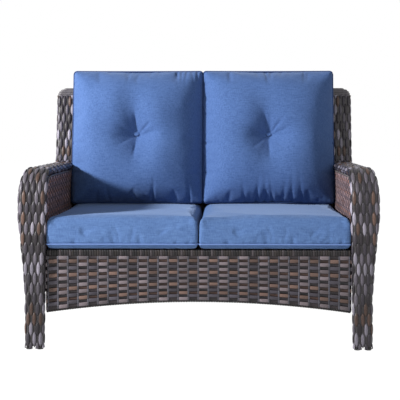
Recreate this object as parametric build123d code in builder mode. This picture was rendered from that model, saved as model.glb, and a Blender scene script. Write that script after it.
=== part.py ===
from build123d import *
import math
import os

os.makedirs("parts", exist_ok=True)

# Wicker loveseat on a welded steel frame, in millimetres.
# It faces -Y and stands on zero height; left and right are a viewer's, from the front.
overall_width = 1216
overall_depth = 730
arm_height = 610
post_height = 906
cushion_top = 972
lean = 9
splay_knee_height = 380
gap = 0.3
overrun = 40
sides = ((-1, "left"), (1, "right"))

# Braided bands round pairs of steel tubes
arm_tube_radius = 8
arm_tube_wall = 1.2
band_clearance = 1.5
band_wall = 3
band_corner_share = 0.96
band_foot_height = 12
band_cap_height = 26
bend_step = 10
flare_low_height = 200
flare_high_height = 490
flare_height_shares = (0, 0.31, 0.67, 0.86, 1)
foot_inset = 22
foot_tube_spacing = 37
inner_lean_in = 13
outer_flare_shares = (0, 0, 0.28, 0.72, 1, 1, 0.7, 0.18, 0.27, 0.27)
inner_flare_shares = (0, 0.3, 0.42, 0.62, 0.76, 0.88, 0.8, 1.05, 1, 1)
kink_radius = 300
roll_radius = 88
shoulder_run = 150
arm_reach = 592
rear_bend_radius = 50
cap_height_shares = (0.35, 0.65, 0.87, 1)
cap_width_shares = (0.95, 0.86, 0.72, 0.52)
cap_depth_shares = (1, 0.95, 0.8, 0.5)
rung_radius = 5
rung_gap = 0.6
arm_rung_shares = (0.13, 0.26, 0.45, 0.58, 0.78, 0.94)
leg_rung_shares = (0.2, 0.55, 0.85)
cope_height = 608

# Plastic feet pushed into the tubes
glide_height = 6
glide_radius = 10.5
glide_plug_height = 14
glide_plug_clearance = 0.4

# Seat frame of square tube, and the deck on it
rail_size = 18
rail_wall = 1.5
rail_top = 333
crossbar_share = 0.48
deck_thickness = 4
deck_bearing = 0.7

# Woven arm panels with their cord and hem
panel_thickness = 4
inner_panel_foot = 300
inner_panel_set_in = 17.6
inner_panel_lean_in = 6.4
cord_radius = 3
outer_panel_set_out = 4
side_hem_radius = 5
side_hem_end_height = 118
side_hem_rise = 28

# Woven apron with an arched hem, hung in front of the seat frame
apron_set_back = 18
apron_thickness = 5
apron_top = 321
apron_foot_set_in = 16
apron_set_in = 19.3
wrap_wall = 3
wrap_lip = 8
hem_end_height = 127.5
hem_rise = 37
hem_rod_radius = 4
hem_radius = 7.5
bar_radius = 3
bar_shares = (-0.8, -0.4, 0, 0.4, 0.8)

# Back frame between the posts
back_tube = 16
back_tube_wall = 1.2
crest_radius = 8
back_bar_radius = 6
back_bar_share = 0.49
skirt_foot = 150
skirt_rod_radius = 5
skirt_rod_drop = 66
skirt_top = 590

# Bolts that hold the seat frame and the back frame to the two arms
bolt_radius = 4
bolt_length = 34
bolt_head_radius = 6.5
bolt_head_height = 4.5
hex_socket_radius = 2.9
hex_socket_depth = 2.5
bolt_hole_radius = 4.4
washer_radius = 8
washer_thickness = 1.6
insert_radius = 5.5
insert_length = 11
insert_clearance = 0.1
insert_set_back = 7.5
thread_clearance = 0.2
seat_bolt_shares = (0.2, 0.8)
back_bolt_shares = (0.3, 0.8)

# Seat cushions
seat_top = 454
seat_front_set_back = 6
seat_rear_gap = 4.5
seat_set_in = 21.3
seat_inner_x = 1
seat_corner = 30
seat_draw_in = 4
seat_foot_share = 0.14
seat_side_share = 0.58
seat_foot_inset = 12
seat_crown_inset = 75
foam_inset = 45
foam_height = 64
foam_corner = 25

# Back cushions, each with one sewn tuft
back_cushion_thickness = 178
back_set_in = 1.5
back_inner_x = 2
back_corner = 28
back_draw_in = 5
back_seat_clearance = 0.5
back_foot_share = 0.42
back_side_share = 0.46
back_foot_inset = 26
back_crown_inset = 115
back_top_inset = 140
back_bottom_inset = 75
tuft_depth = 52
tuft_radius = 100
tuft_mouth_shares = (0.42, 0.78)
tuft_lift = 6
tuft_core_radius = 13
rear_tuft_depth = 6
button_radius = 11
button_height = 7
button_round = 2.5
rear_button_height = 4
tuft_cord_radius = 1.2
tuft_bore_radius = 1.6
fill_inset = 90
fill_set_back = 46
fill_thickness = 60
fill_corner = 40
crown_steps = 6
foot_steps = 2

# Places that follow from the sizes above
band_half = arm_tube_radius + band_clearance + band_wall
front_y = -overall_depth / 2
leg_y = front_y + band_half
arm_mid_height = arm_height - band_half
corner_y = leg_y + arm_reach
tube_top = post_height - band_cap_height
post_top_y = corner_y + (tube_top - arm_mid_height) * math.tan(math.radians(lean))
foot_outer_x = overall_width / 2 - foot_inset - band_half
foot_inner_x = foot_outer_x - foot_tube_spacing
post_inner_x = foot_inner_x - inner_lean_in * inner_flare_shares[-1] - band_half
inner_panel_foot_x = foot_inner_x - inner_panel_set_in
outer_panel_x = foot_outer_x + outer_panel_set_out
apron_foot_half_width = foot_inner_x - apron_foot_set_in
apron_half_width = foot_inner_x - apron_set_in
seat_outer_x = foot_inner_x - seat_set_in
back_outer_x = post_inner_x - back_set_in
rear_foot_y = overall_depth / 2 - glide_radius
splay = math.degrees(math.atan2(rear_foot_y - corner_y, splay_knee_height))
rail_bottom = rail_top - rail_size
rail_mid = rail_top - rail_size / 2


def lean_plane(offset):
    """Plane of the leaning back, moved forward by offset; its X is the row's X."""
    normal = (0, -math.cos(math.radians(lean)), math.sin(math.radians(lean)))
    return Plane(origin=(0, corner_y, arm_mid_height), x_dir=(1, 0, 0), z_dir=normal).offset(offset)


def arm_path(side, foot_x, reach, shares):
    """Centre line of one arm tube: up the leg, over the roll, back, and up the post."""
    flare_range = flare_high_height - flare_low_height
    leg_heights = [flare_low_height + flare_range * share for share in flare_height_shares]
    places = [(leg_y, height) for height in (0, *leg_heights, arm_mid_height)]
    places += [(leg_y + shoulder_run, arm_mid_height), (corner_y, arm_mid_height)]
    places += [(post_top_y, tube_top)]
    points = [(side * (foot_x + reach * share), y, z) for share, (y, z) in zip(shares, places)]
    kinks = [kink_radius] * len(flare_height_shares)
    with BuildLine() as path:
        FilletPolyline(*points, radius=[*kinks, roll_radius, kink_radius, rear_bend_radius])
    return path.wire()


def rear_leg_path(side, foot_x, top_x):
    """Centre line of one rear leg tube: up the splay, then straight up to the arm."""
    with BuildLine() as path:
        FilletPolyline((side * foot_x, rear_foot_y, 0), (side * top_x, corner_y, splay_knee_height),
                       (side * top_x, corner_y, cope_height), radius=kink_radius)
    return path.wire()


def path_marks(path):
    """Lengths along a path at the ends of its runs, and at even steps round its bends."""
    marks = [0.0]
    done = 0.0
    for edge in path.order_edges():
        turn = math.degrees(edge.length / edge.radius) if edge.geom_type == GeomType.CIRCLE else 0
        steps = max(1, round(turn / bend_step))
        marks += [done + edge.length * step / steps for step in range(1, steps + 1)]
        done += edge.length
    return marks


def band_stations(outer_path, inner_path, start):
    """Middle, width, depth and direction of a band, wherever its two tubes change course."""
    stations = []
    outer_marks = path_marks(outer_path)
    inner_marks = path_marks(inner_path)
    outer_marks[0] = inner_marks[0] = start
    for outer_mark, inner_mark in zip(outer_marks, inner_marks):
        outer = outer_path.position_at(outer_mark, position_mode=PositionMode.LENGTH)
        inner = inner_path.position_at(inner_mark, position_mode=PositionMode.LENGTH)
        heading = outer_path.tangent_at(outer_mark, position_mode=PositionMode.LENGTH)
        width = abs(outer.X - inner.X) + 2 * band_half
        along = Vector(0, heading.Y, heading.Z).normalized()
        stations.append(((outer + inner) / 2, width, 2 * band_half, along))
    return stations


def band_cap(station, side):
    """Stations that round off the top of a post, drawn in from its outer edge."""
    middle, width, depth, along = station
    caps = []
    for height, wide, deep in zip(cap_height_shares, cap_width_shares, cap_depth_shares):
        drawn_in = Vector(-side * width * (1 - wide) / 2, 0, 0)
        spot = middle + drawn_in + along * band_cap_height * height
        caps.append((spot, width * wide, depth * deep, along))
    return caps


def loft_band(stations, inset, mode=Mode.ADD):
    """Loft a band through its stations, smaller all round by inset."""
    sections = []
    for middle, width, depth, along in stations:
        with BuildSketch(Plane(origin=middle, x_dir=(1, 0, 0), z_dir=along)) as section:
            corner = band_corner_share * (depth / 2 - inset)
            RectangleRounded(width - 2 * inset, depth - 2 * inset, corner)
        sections.append(section.sketch)
    loft(sections, ruled=True, mode=mode)


def run_round(path, radius, bore=0):
    """Sweep a round section, or a ring where there is a bore, along a path."""
    with BuildSketch(Plane(origin=path @ 0, z_dir=path % 0)) as section:
        Circle(radius)
        if bore:
            Circle(bore, mode=Mode.SUBTRACT)
    sweep(section.sketch, path=path)


def block(x_range, y_range, z_range, mode=Mode.ADD):
    """Box between two places on each axis, whichever way round they are given."""
    (x0, x1), (y0, y1), (z0, z1) = sorted(x_range), sorted(y_range), sorted(z_range)
    with BuildSketch(Plane.XY.offset(z0)) as section:
        with Locations(((x0 + x1) / 2, (y0 + y1) / 2)):
            Rectangle(x1 - x0, y1 - y0)
    extrude(section.sketch, amount=z1 - z0, mode=mode)


def cross_round(spots, x_start, x_end, radius, mode=Mode.ADD):
    """Round bars along X, one at each (y, z) spot."""
    with BuildSketch(Plane.YZ.offset(x_start)) as section:
        with Locations(*spots):
            Circle(radius)
    extrude(section.sketch, amount=x_end - x_start, mode=mode)


def save(piece, label):
    """Label a finished piece and write its own STEP file."""
    piece.part.label = label
    export_step(piece.part, f"parts/{label}.step")


# Seat frame places
front_rail_y = front_y + apron_set_back + apron_thickness + gap + wrap_wall + gap
rear_rail_mid_y = corner_y - (arm_mid_height - rail_top) * math.tan(math.radians(lean))
rear_rail_y = rear_rail_mid_y - rail_size / 2
panel_lean_at_rail = inner_panel_lean_in * (rail_top - inner_panel_foot) / (arm_mid_height - inner_panel_foot)
side_rail_outer_x = inner_panel_foot_x - gap - panel_lean_at_rail
side_rail_inner_x = side_rail_outer_x - rail_size
stile_outer_x = post_inner_x - gap
stile_inner_x = stile_outer_x - back_tube
arm_rail_x = inner_panel_foot_x + panel_thickness + gap
crest_run = (post_height - band_half - arm_mid_height) / math.cos(math.radians(lean))


def back_spot(share):
    """The (y, z) place on the leaning back at a share of the way up to the crest rail."""
    run = crest_run * share
    rise = math.cos(math.radians(lean))
    return corner_y + run * math.sin(math.radians(lean)), arm_mid_height + run * rise


side_rail_length = rear_rail_y - front_rail_y - rail_size
side_rail_front_y = front_rail_y + rail_size
seat_bolt_spots = [(side_rail_front_y + side_rail_length * share, rail_mid) for share in seat_bolt_shares]
back_bolt_spots = [back_spot(share) for share in back_bolt_shares]

for side, name in sides:
    outer_path = arm_path(side, foot_outer_x, foot_inset, outer_flare_shares)
    inner_path = arm_path(side, foot_inner_x, -inner_lean_in, inner_flare_shares)
    post_outer_tube_x = abs((outer_path @ 1).X)
    post_inner_tube_x = abs((inner_path @ 1).X)
    rear_outer_path = rear_leg_path(side, foot_outer_x, post_outer_tube_x)
    rear_inner_path = rear_leg_path(side, post_inner_tube_x, post_inner_tube_x)
    arm_stations = band_stations(outer_path, inner_path, band_foot_height)
    leg_stations = band_stations(rear_outer_path, rear_inner_path, band_foot_height)

    # Arm tubes: each is one bent steel tube, from the foot to the top of the post
    with BuildPart() as outer_tube:
        run_round(outer_path, arm_tube_radius, arm_tube_radius - arm_tube_wall)
        split(bisect_by=Plane.XY.offset(glide_height), keep=Keep.TOP)
    save(outer_tube, f"{name}_arm_outer_tube")

    with BuildPart() as inner_tube:
        run_round(inner_path, arm_tube_radius, arm_tube_radius - arm_tube_wall)
        inner_wall_x = side * (post_inner_tube_x - arm_tube_radius - overrun)
        cross_round(back_bolt_spots, inner_wall_x, side * post_inner_tube_x,
                    insert_radius + insert_clearance, Mode.SUBTRACT)
        split(bisect_by=Plane.XY.offset(glide_height), keep=Keep.TOP)
    save(inner_tube, f"{name}_arm_inner_tube")

    # Rear leg tubes, coped to the underside of the arm tubes that they carry
    with BuildPart() as arm_tube_space:
        run_round(outer_path, arm_tube_radius + gap)
        run_round(inner_path, arm_tube_radius + gap)
    with BuildPart() as rear_tubes:
        run_round(rear_outer_path, arm_tube_radius, arm_tube_radius - arm_tube_wall)
        run_round(rear_inner_path, arm_tube_radius, arm_tube_radius - arm_tube_wall)
        add(arm_tube_space.part, mode=Mode.SUBTRACT)
        split(bisect_by=Plane.XY.offset(glide_height), keep=Keep.TOP)
    save(rear_tubes, f"{name}_rear_leg_tubes")

    # Rungs welded between each pair of tubes
    with BuildPart() as rungs:
        for near, far, shares in ((inner_path, outer_path, arm_rung_shares),
                                  (rear_inner_path, rear_outer_path, leg_rung_shares)):
            for share in shares:
                spot, across = near @ share, far @ share
                reach = side * (arm_tube_radius + rung_gap)
                cross_round([(spot.Y, spot.Z)], spot.X + reach, across.X - reach, rung_radius)
    save(rungs, f"{name}_arm_rungs")

    # Seat rail of the arm, which the seat frame is bolted to
    rail_x_range = (side * arm_rail_x, side * (arm_rail_x + rail_size))
    rail_front_y = leg_y + arm_tube_radius + gap
    rail_rear_y = corner_y - arm_tube_radius - gap
    with BuildPart() as arm_rail:
        block(rail_x_range, (rail_front_y, rail_rear_y), (rail_bottom, rail_top))
        bore_x_range = (side * (arm_rail_x + rail_wall), side * (arm_rail_x + rail_size - rail_wall))
        block(bore_x_range, (rail_front_y, rail_rear_y), (rail_bottom + rail_wall, rail_top - rail_wall),
              Mode.SUBTRACT)
        cross_round(seat_bolt_spots, side * (arm_rail_x - overrun), side * (arm_rail_x + rail_size / 2),
                    insert_radius + insert_clearance, Mode.SUBTRACT)
    save(arm_rail, f"{name}_arm_seat_rail")

    # Braided band of the arm: a hollow sleeve with a rounded top
    with BuildPart() as rear_tube_space:
        run_round(rear_outer_path, arm_tube_radius + band_clearance)
        run_round(rear_inner_path, arm_tube_radius + band_clearance)
    foot = arm_stations[0]
    open_foot = (foot[0] - foot[3] * overrun, *foot[1:])
    with BuildPart() as arm_band:
        loft_band(arm_stations + band_cap(arm_stations[-1], side), 0)
        loft_band([open_foot] + arm_stations, band_wall, Mode.SUBTRACT)
        add(rear_tube_space.part, mode=Mode.SUBTRACT)
        block((rail_x_range[0] - side * gap, rail_x_range[1] + side * gap), (leg_y, leg_y + overrun),
              (rail_bottom - gap, rail_top + gap), Mode.SUBTRACT)
        cross_round(back_bolt_spots, side * (post_inner_x - overrun), side * (post_inner_x + band_half / 2),
                    bolt_hole_radius, Mode.SUBTRACT)
    save(arm_band, f"{name}_arm_band")

    # Braided band of the rear leg, fitted under the arm band
    with BuildPart() as arm_band_space:
        loft_band(arm_stations, -gap)
    foot = leg_stations[0]
    open_foot = (foot[0] - foot[3] * overrun, *foot[1:])
    head = leg_stations[-1]
    open_head = (head[0] + head[3] * overrun, *head[1:])
    with BuildPart() as leg_band:
        loft_band(leg_stations, 0)
        loft_band([open_foot] + leg_stations + [open_head], band_wall, Mode.SUBTRACT)
        add(arm_band_space.part, mode=Mode.SUBTRACT)
        block((rail_x_range[0] - side * gap, rail_x_range[1] + side * gap), (corner_y - overrun, corner_y),
              (rail_bottom - gap, rail_top + gap), Mode.SUBTRACT)
    save(leg_band, f"{name}_rear_leg_band")

    # Inner arm panel, leaning in a little towards the arm's inner edge
    panel_lean = math.atan2(inner_panel_lean_in, arm_mid_height - inner_panel_foot)
    panel_normal = (math.cos(panel_lean), 0, side * math.sin(panel_lean))
    panel_origin = (side * (inner_panel_foot_x + panel_thickness / 2), 0, inner_panel_foot)
    inner_plane = Plane(origin=panel_origin, x_dir=(0, 1, 0), z_dir=panel_normal)
    cord_room = 2 * (cord_radius + gap)
    roll_y = leg_y + roll_radius
    roll_rise = arm_mid_height - roll_radius - inner_panel_foot
    hollow_radius = roll_radius - band_half - gap
    panel_round = hollow_radius - cord_room
    panel_rear_y = corner_y - band_half - 2 * gap
    cord_foot = rail_top + deck_thickness - inner_panel_foot
    with BuildPart() as inner_panel:
        with BuildSketch(inner_plane.offset(-panel_thickness / 2)):
            with BuildLine():
                Polyline((roll_y - panel_round, roll_rise), (roll_y - panel_round, 0), (panel_rear_y, 0),
                         (panel_rear_y, roll_rise + panel_round), (roll_y, roll_rise + panel_round))
                CenterArc((roll_y, roll_rise), panel_round, 90, 90)
            make_face()
        extrude(amount=panel_thickness)
        bore_start_x = side * (inner_panel_foot_x - overrun)
        bore_end_x = side * (inner_panel_foot_x + overrun)
        cross_round(seat_bolt_spots, bore_start_x, bore_end_x, bolt_hole_radius, Mode.SUBTRACT)
    save(inner_panel, f"{name}_inner_arm_weave")

    # Wrapped cord in the joint between the inner panel and the braided band
    cord_round = hollow_radius - gap - cord_radius
    with BuildPart() as trim_cord:
        with BuildLine(inner_plane) as cord_line:
            Line((roll_y - cord_round, cord_foot), (roll_y - cord_round, roll_rise))
            CenterArc((roll_y, roll_rise), cord_round, 180, -90)
            Line((roll_y, roll_rise + cord_round), (corner_y - rear_bend_radius, roll_rise + cord_round))
        run_round(cord_line.wire(), cord_radius)
    save(trim_cord, f"{name}_arm_trim_cord")

    # Outer arm panel with an arched foot, from the front leg to the rear leg
    outer_origin = (side * (outer_panel_x + panel_thickness / 2), 0, 0)
    outer_plane = Plane(origin=outer_origin, x_dir=(0, 1, 0), z_dir=(1, 0, 0))
    roll_height = arm_mid_height - roll_radius
    outer_round = hollow_radius - gap
    rear_edge_y = corner_y - (band_half + gap) / math.cos(math.radians(splay))
    outer_foot = side_hem_end_height + side_hem_radius + gap
    rear_foot_edge_y = rear_edge_y + (splay_knee_height - outer_foot) * math.tan(math.radians(splay))
    arch_middle_y = (roll_y - outer_round + rear_foot_edge_y) / 2
    with BuildPart() as outer_panel:
        with BuildSketch(outer_plane.offset(-panel_thickness / 2)):
            with BuildLine():
                CenterArc((roll_y, roll_height), outer_round, 90, 90)
                Line((roll_y - outer_round, roll_height), (roll_y - outer_round, outer_foot))
                ThreePointArc((roll_y - outer_round, outer_foot), (arch_middle_y, outer_foot + side_hem_rise),
                              (rear_foot_edge_y, outer_foot))
                Polyline((rear_foot_edge_y, outer_foot), (rear_edge_y, splay_knee_height),
                         (rear_edge_y, roll_height + outer_round), (roll_y, roll_height + outer_round))
            make_face()
        extrude(amount=panel_thickness)
    save(outer_panel, f"{name}_outer_arm_weave")

    # Wrapped hem rod along the arched foot of the outer panel
    with BuildPart() as side_hem:
        with BuildLine(outer_plane) as hem_line:
            ThreePointArc((roll_y - outer_round, side_hem_end_height),
                          (arch_middle_y, side_hem_end_height + side_hem_rise),
                          (rear_foot_edge_y - gap, side_hem_end_height))
        run_round(hem_line.wire(), side_hem_radius)
    save(side_hem, f"{name}_side_hem")

# Seat frame: front and rear rails, side rails bolted to the arms, and crossbars
rail_length = (-side_rail_outer_x, side_rail_outer_x)
with BuildPart() as front_rail:
    block(rail_length, (front_rail_y, front_rail_y + rail_size), (rail_bottom, rail_top))
    block(rail_length, (front_rail_y + rail_wall, front_rail_y + rail_size - rail_wall),
          (rail_bottom + rail_wall, rail_top - rail_wall), Mode.SUBTRACT)
save(front_rail, "seat_front_rail")

with BuildPart() as rear_rail:
    block(rail_length, (rear_rail_y, rear_rail_y + rail_size), (rail_bottom, rail_top))
    block(rail_length, (rear_rail_y + rail_wall, rear_rail_y + rail_size - rail_wall),
          (rail_bottom + rail_wall, rail_top - rail_wall), Mode.SUBTRACT)
save(rear_rail, "seat_rear_rail")

rail_y_range = (front_rail_y + rail_size, rear_rail_y)
with BuildPart() as side_rails:
    for side, _ in sides:
        block((side * side_rail_inner_x, side * side_rail_outer_x), rail_y_range, (rail_bottom, rail_top))
        bore_x_range = (side * (side_rail_inner_x + rail_wall), side * (side_rail_outer_x - rail_wall))
        block(bore_x_range, rail_y_range, (rail_bottom + rail_wall, rail_top - rail_wall), Mode.SUBTRACT)
        bore_start_x = side * (side_rail_inner_x - overrun)
        bore_end_x = side * (side_rail_outer_x + overrun)
        cross_round(seat_bolt_spots, bore_start_x, bore_end_x, bolt_hole_radius, Mode.SUBTRACT)
save(side_rails, "seat_side_rails")

with BuildPart() as crossbars:
    for place in (-crossbar_share * side_rail_outer_x, 0, crossbar_share * side_rail_outer_x):
        block((place - rail_size / 2, place + rail_size / 2), rail_y_range, (rail_bottom, rail_top))
        block((place - rail_size / 2 + rail_wall, place + rail_size / 2 - rail_wall), rail_y_range,
              (rail_bottom + rail_wall, rail_top - rail_wall), Mode.SUBTRACT)
save(crossbars, "seat_crossbars")

# Woven deck that the seat cushions lie on
wrap_rear_y = front_rail_y + rail_size
with BuildPart() as deck:
    block(rail_length, (wrap_rear_y + gap, rear_rail_y + deck_bearing), (rail_top, rail_top + deck_thickness))
save(deck, "seat_deck_weave")

# Apron: arched hem rod under the front rail on short bars
hem_y = front_y + apron_set_back + apron_thickness + gap + hem_radius
hem_crest = hem_end_height + hem_rise
with BuildLine(Plane.XZ.offset(-hem_y)) as hem_line:
    ThreePointArc((-apron_half_width, hem_end_height), (0, hem_crest), (apron_half_width, hem_end_height))
hem_path = hem_line.wire()
with BuildPart() as hem_rod:
    run_round(hem_path, hem_rod_radius)
save(hem_rod, "apron_hem_rod")

hem_curve = (apron_half_width ** 2 + hem_rise ** 2) / (2 * hem_rise)
bar_places = [apron_half_width * share for share in bar_shares]
bar_feet = [hem_crest - hem_curve + math.sqrt(hem_curve ** 2 - place ** 2) for place in bar_places]
with BuildPart() as hem_rod_space:
    run_round(hem_path, hem_rod_radius + gap)
with BuildPart() as apron_bars:
    for place, foot_height in zip(bar_places, bar_feet):
        with BuildSketch(Plane.XY.offset(foot_height)):
            with Locations((place, hem_y)):
                Circle(bar_radius)
        extrude(amount=rail_bottom - foot_height)
    add(hem_rod_space.part, mode=Mode.SUBTRACT)
save(apron_bars, "apron_bars")

with BuildPart() as bar_spaces:
    for place, foot_height in zip(bar_places, bar_feet):
        with BuildSketch(Plane.XY.offset(foot_height)):
            with Locations((place, hem_y)):
                Circle(bar_radius + gap)
        extrude(amount=rail_bottom - foot_height)
with BuildPart() as hem_wrap:
    run_round(hem_path, hem_radius, hem_rod_radius + gap)
    add(bar_spaces.part, mode=Mode.SUBTRACT)
save(hem_wrap, "apron_hem_wrap")

# Strand wrapped over the front rail, open behind
wrap_front_y = front_rail_y - gap - wrap_wall
with BuildPart() as top_wrap:
    block((-apron_half_width, apron_half_width), (wrap_front_y, wrap_rear_y),
          (rail_bottom - gap - wrap_wall, rail_top + gap + wrap_wall))
    block((-apron_half_width, apron_half_width), (wrap_front_y + wrap_wall, wrap_rear_y),
          (rail_bottom - gap, rail_top + gap), Mode.SUBTRACT)
    block((-apron_half_width, apron_half_width), (wrap_front_y + wrap_wall + wrap_lip, wrap_rear_y),
          (rail_bottom - gap - wrap_wall, rail_bottom - gap), Mode.SUBTRACT)
    add(bar_spaces.part, mode=Mode.SUBTRACT)
save(top_wrap, "apron_top_wrap")

with BuildPart() as apron:
    with BuildSketch(Plane.XZ.offset(-front_y - apron_set_back - apron_thickness)):
        with BuildLine():
            ThreePointArc((-apron_foot_half_width, hem_end_height), (0, hem_crest),
                          (apron_foot_half_width, hem_end_height))
            Polyline((apron_foot_half_width, hem_end_height), (apron_half_width, apron_top),
                     (-apron_half_width, apron_top), (-apron_foot_half_width, hem_end_height))
        make_face()
    extrude(amount=apron_thickness)
save(apron, "apron_weave")

# Back frame: stiles and bars that stand on the rear seat rail, under a crest rail
back_foot_run = (arm_mid_height - rail_bottom + overrun) / math.cos(math.radians(lean))
upright_top = crest_run - crest_radius - gap
upright_middle = (upright_top - back_foot_run) / 2
upright_length = upright_top + back_foot_run


def stile_run(size, mode=Mode.ADD):
    """Square run up the back at each end of it, from below the seat to the crest rail."""
    with BuildSketch(lean_plane(-size / 2)) as section:
        for side, _ in sides:
            with Locations((side * (stile_outer_x - back_tube / 2), upright_middle)):
                Rectangle(size, upright_length)
    extrude(section.sketch, amount=size, mode=mode)


def bar_run(radius):
    """Round runs up the back between the stiles."""
    foot_point = lean_plane(0).from_local_coords((0, -back_foot_run, 0))
    with BuildSketch(Plane(origin=foot_point, x_dir=(1, 0, 0), z_dir=lean_plane(0).y_dir)) as section:
        with Locations((-back_bar_share * stile_outer_x, 0), (0, 0), (back_bar_share * stile_outer_x, 0)):
            Circle(radius)
    extrude(section.sketch, amount=upright_length)


with BuildPart() as stiles:
    stile_run(back_tube)
    stile_run(back_tube - 2 * back_tube_wall, Mode.SUBTRACT)
    for side, _ in sides:
        cross_round(back_bolt_spots, side * (stile_inner_x - overrun), side * (stile_outer_x + overrun),
                    bolt_hole_radius, Mode.SUBTRACT)
    split(bisect_by=Plane.XY.offset(rail_top), keep=Keep.TOP)
save(stiles, "back_stiles")

with BuildPart() as back_bars:
    bar_run(back_bar_radius)
    split(bisect_by=Plane.XY.offset(rail_top), keep=Keep.TOP)
save(back_bars, "back_bars")

crest_spot = back_spot(1)
with BuildPart() as crest_rail:
    cross_round([crest_spot], -stile_outer_x, stile_outer_x, crest_radius)
    cross_round([crest_spot], -stile_outer_x, stile_outer_x, crest_radius - back_tube_wall, Mode.SUBTRACT)
save(crest_rail, "back_crest_rail")

with BuildPart() as upright_spaces:
    stile_run(back_tube + 2 * gap)
    bar_run(back_bar_radius + gap)
with BuildPart() as crest_wrap:
    cross_round([crest_spot], -stile_outer_x, stile_outer_x, band_half)
    cross_round([crest_spot], -stile_outer_x, stile_outer_x, crest_radius + gap, Mode.SUBTRACT)
    add(upright_spaces.part, mode=Mode.SUBTRACT)
save(crest_wrap, "back_crest_wrap")

# Woven faces of the back, in front of the frame and behind it
weave_near = back_tube / 2 + gap
weave_far = weave_near + panel_thickness
weave_top = crest_run - band_half
deck_top = rail_top + deck_thickness
with BuildPart() as front_weave:
    weave_drop = deck_top + gap - arm_mid_height - weave_near * math.sin(math.radians(lean))
    weave_foot = weave_drop / math.cos(math.radians(lean))
    with BuildSketch(lean_plane(weave_near)):
        with Locations((0, (weave_top + weave_foot) / 2)):
            Rectangle(2 * stile_outer_x, weave_top - weave_foot)
    extrude(amount=panel_thickness)
save(front_weave, "back_front_weave")

with BuildPart() as rear_weave:
    with BuildSketch(lean_plane(-weave_far)):
        with Locations((0, weave_top / 2)):
            Rectangle(2 * stile_outer_x, weave_top)
    extrude(amount=panel_thickness)
save(rear_weave, "back_rear_weave")

# Woven skirt behind the seat, down between the rear legs, on two cross rods
skirt_near = (arm_tube_radius + gap) / math.cos(math.radians(splay))
skirt_far = skirt_near + panel_thickness
skirt_rake = math.tan(math.radians(splay))
skirt_foot_y = corner_y + (splay_knee_height - skirt_foot) * skirt_rake
with BuildPart() as skirt:
    with BuildSketch(Plane.YZ.offset(-stile_outer_x)):
        with BuildLine():
            Polyline((skirt_foot_y + skirt_near, skirt_foot), (corner_y + skirt_near, splay_knee_height),
                     (corner_y + skirt_near, skirt_top), (corner_y + skirt_far, skirt_top),
                     (corner_y + skirt_far, splay_knee_height), (skirt_foot_y + skirt_far, skirt_foot),
                     (skirt_foot_y + skirt_near, skirt_foot))
        make_face()
    extrude(amount=2 * stile_outer_x)
save(skirt, "rear_skirt_weave")

with BuildPart() as skirt_rods:
    rod_room = (skirt_rod_radius + gap) / math.cos(math.radians(splay))
    low_rod_y = skirt_foot_y + skirt_near - skirt_rod_radius * skirt_rake - rod_room
    rod_spots = [(corner_y + skirt_near - skirt_rod_radius - gap, skirt_top - skirt_rod_drop),
                 (low_rod_y, skirt_foot + skirt_rod_radius)]
    cross_round(rod_spots, -stile_outer_x, stile_outer_x, skirt_rod_radius)
save(skirt_rods, "rear_skirt_rods")

# Foot glides: a flat foot below each tube and a plug inside it
plug_radius = arm_tube_radius - arm_tube_wall - glide_plug_clearance
with BuildPart() as front_glides:
    for side, _ in sides:
        for x in (foot_outer_x, foot_inner_x):
            with BuildSketch():
                with Locations((side * x, leg_y)):
                    Circle(glide_radius)
            extrude(amount=glide_height)
            with BuildSketch(Plane.XY.offset(glide_height)):
                with Locations((side * x, leg_y)):
                    Circle(plug_radius)
            extrude(amount=glide_plug_height)
save(front_glides, "front_foot_glides")

with BuildPart() as rear_glides:
    for side, _ in sides:
        for foot_x, top_x in ((foot_outer_x, post_outer_tube_x), (post_inner_tube_x, post_inner_tube_x)):
            plug_rise = glide_height + glide_plug_height
            plug_share = plug_rise / splay_knee_height
            plug_top = (side * (foot_x + (top_x - foot_x) * plug_share),
                        rear_foot_y + (corner_y - rear_foot_y) * plug_share, plug_rise)
            with BuildLine() as plug_line:
                Line((side * foot_x, rear_foot_y, 0), plug_top)
            run_round(plug_line.wire(), plug_radius)
    split(bisect_by=Plane.XY.offset(glide_height), keep=Keep.TOP)
    for side, _ in sides:
        with BuildSketch():
            with Locations((side * foot_outer_x, rear_foot_y), (side * post_inner_tube_x, rear_foot_y)):
                Circle(glide_radius)
        extrude(amount=glide_height)
save(rear_glides, "rear_foot_glides")

# Bolts, washers and threaded inserts, in one group of each
with BuildPart() as bolts:
    for side, _ in sides:
        for face_x, spots in ((side_rail_inner_x, seat_bolt_spots), (stile_inner_x, back_bolt_spots)):
            seat_x = face_x - washer_thickness
            head_x = seat_x - bolt_head_height
            cross_round(spots, side * head_x, side * seat_x, bolt_head_radius)
            cross_round(spots, side * seat_x, side * (seat_x + bolt_length), bolt_radius)
            with BuildSketch(Plane.YZ.offset(side * head_x)):
                with Locations(*spots):
                    RegularPolygon(hex_socket_radius, 6)
            extrude(amount=side * hex_socket_depth, mode=Mode.SUBTRACT)
save(bolts, "frame_bolts")

with BuildPart() as washers:
    for side, _ in sides:
        for face_x, spots in ((side_rail_inner_x, seat_bolt_spots), (stile_inner_x, back_bolt_spots)):
            seat_x = face_x - washer_thickness
            cross_round(spots, side * seat_x, side * face_x, washer_radius)
            cross_round(spots, side * seat_x, side * face_x, bolt_hole_radius, Mode.SUBTRACT)
save(washers, "bolt_washers")

with BuildPart() as inserts:
    for side, _ in sides:
        for face_x, spots in ((arm_rail_x, seat_bolt_spots),
                              (post_inner_tube_x - insert_set_back, back_bolt_spots)):
            cross_round(spots, side * face_x, side * (face_x + insert_length), insert_radius)
            cross_round(spots, side * face_x, side * (face_x + insert_length), bolt_radius + thread_clearance,
                        Mode.SUBTRACT)
save(inserts, "threaded_inserts")


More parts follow.
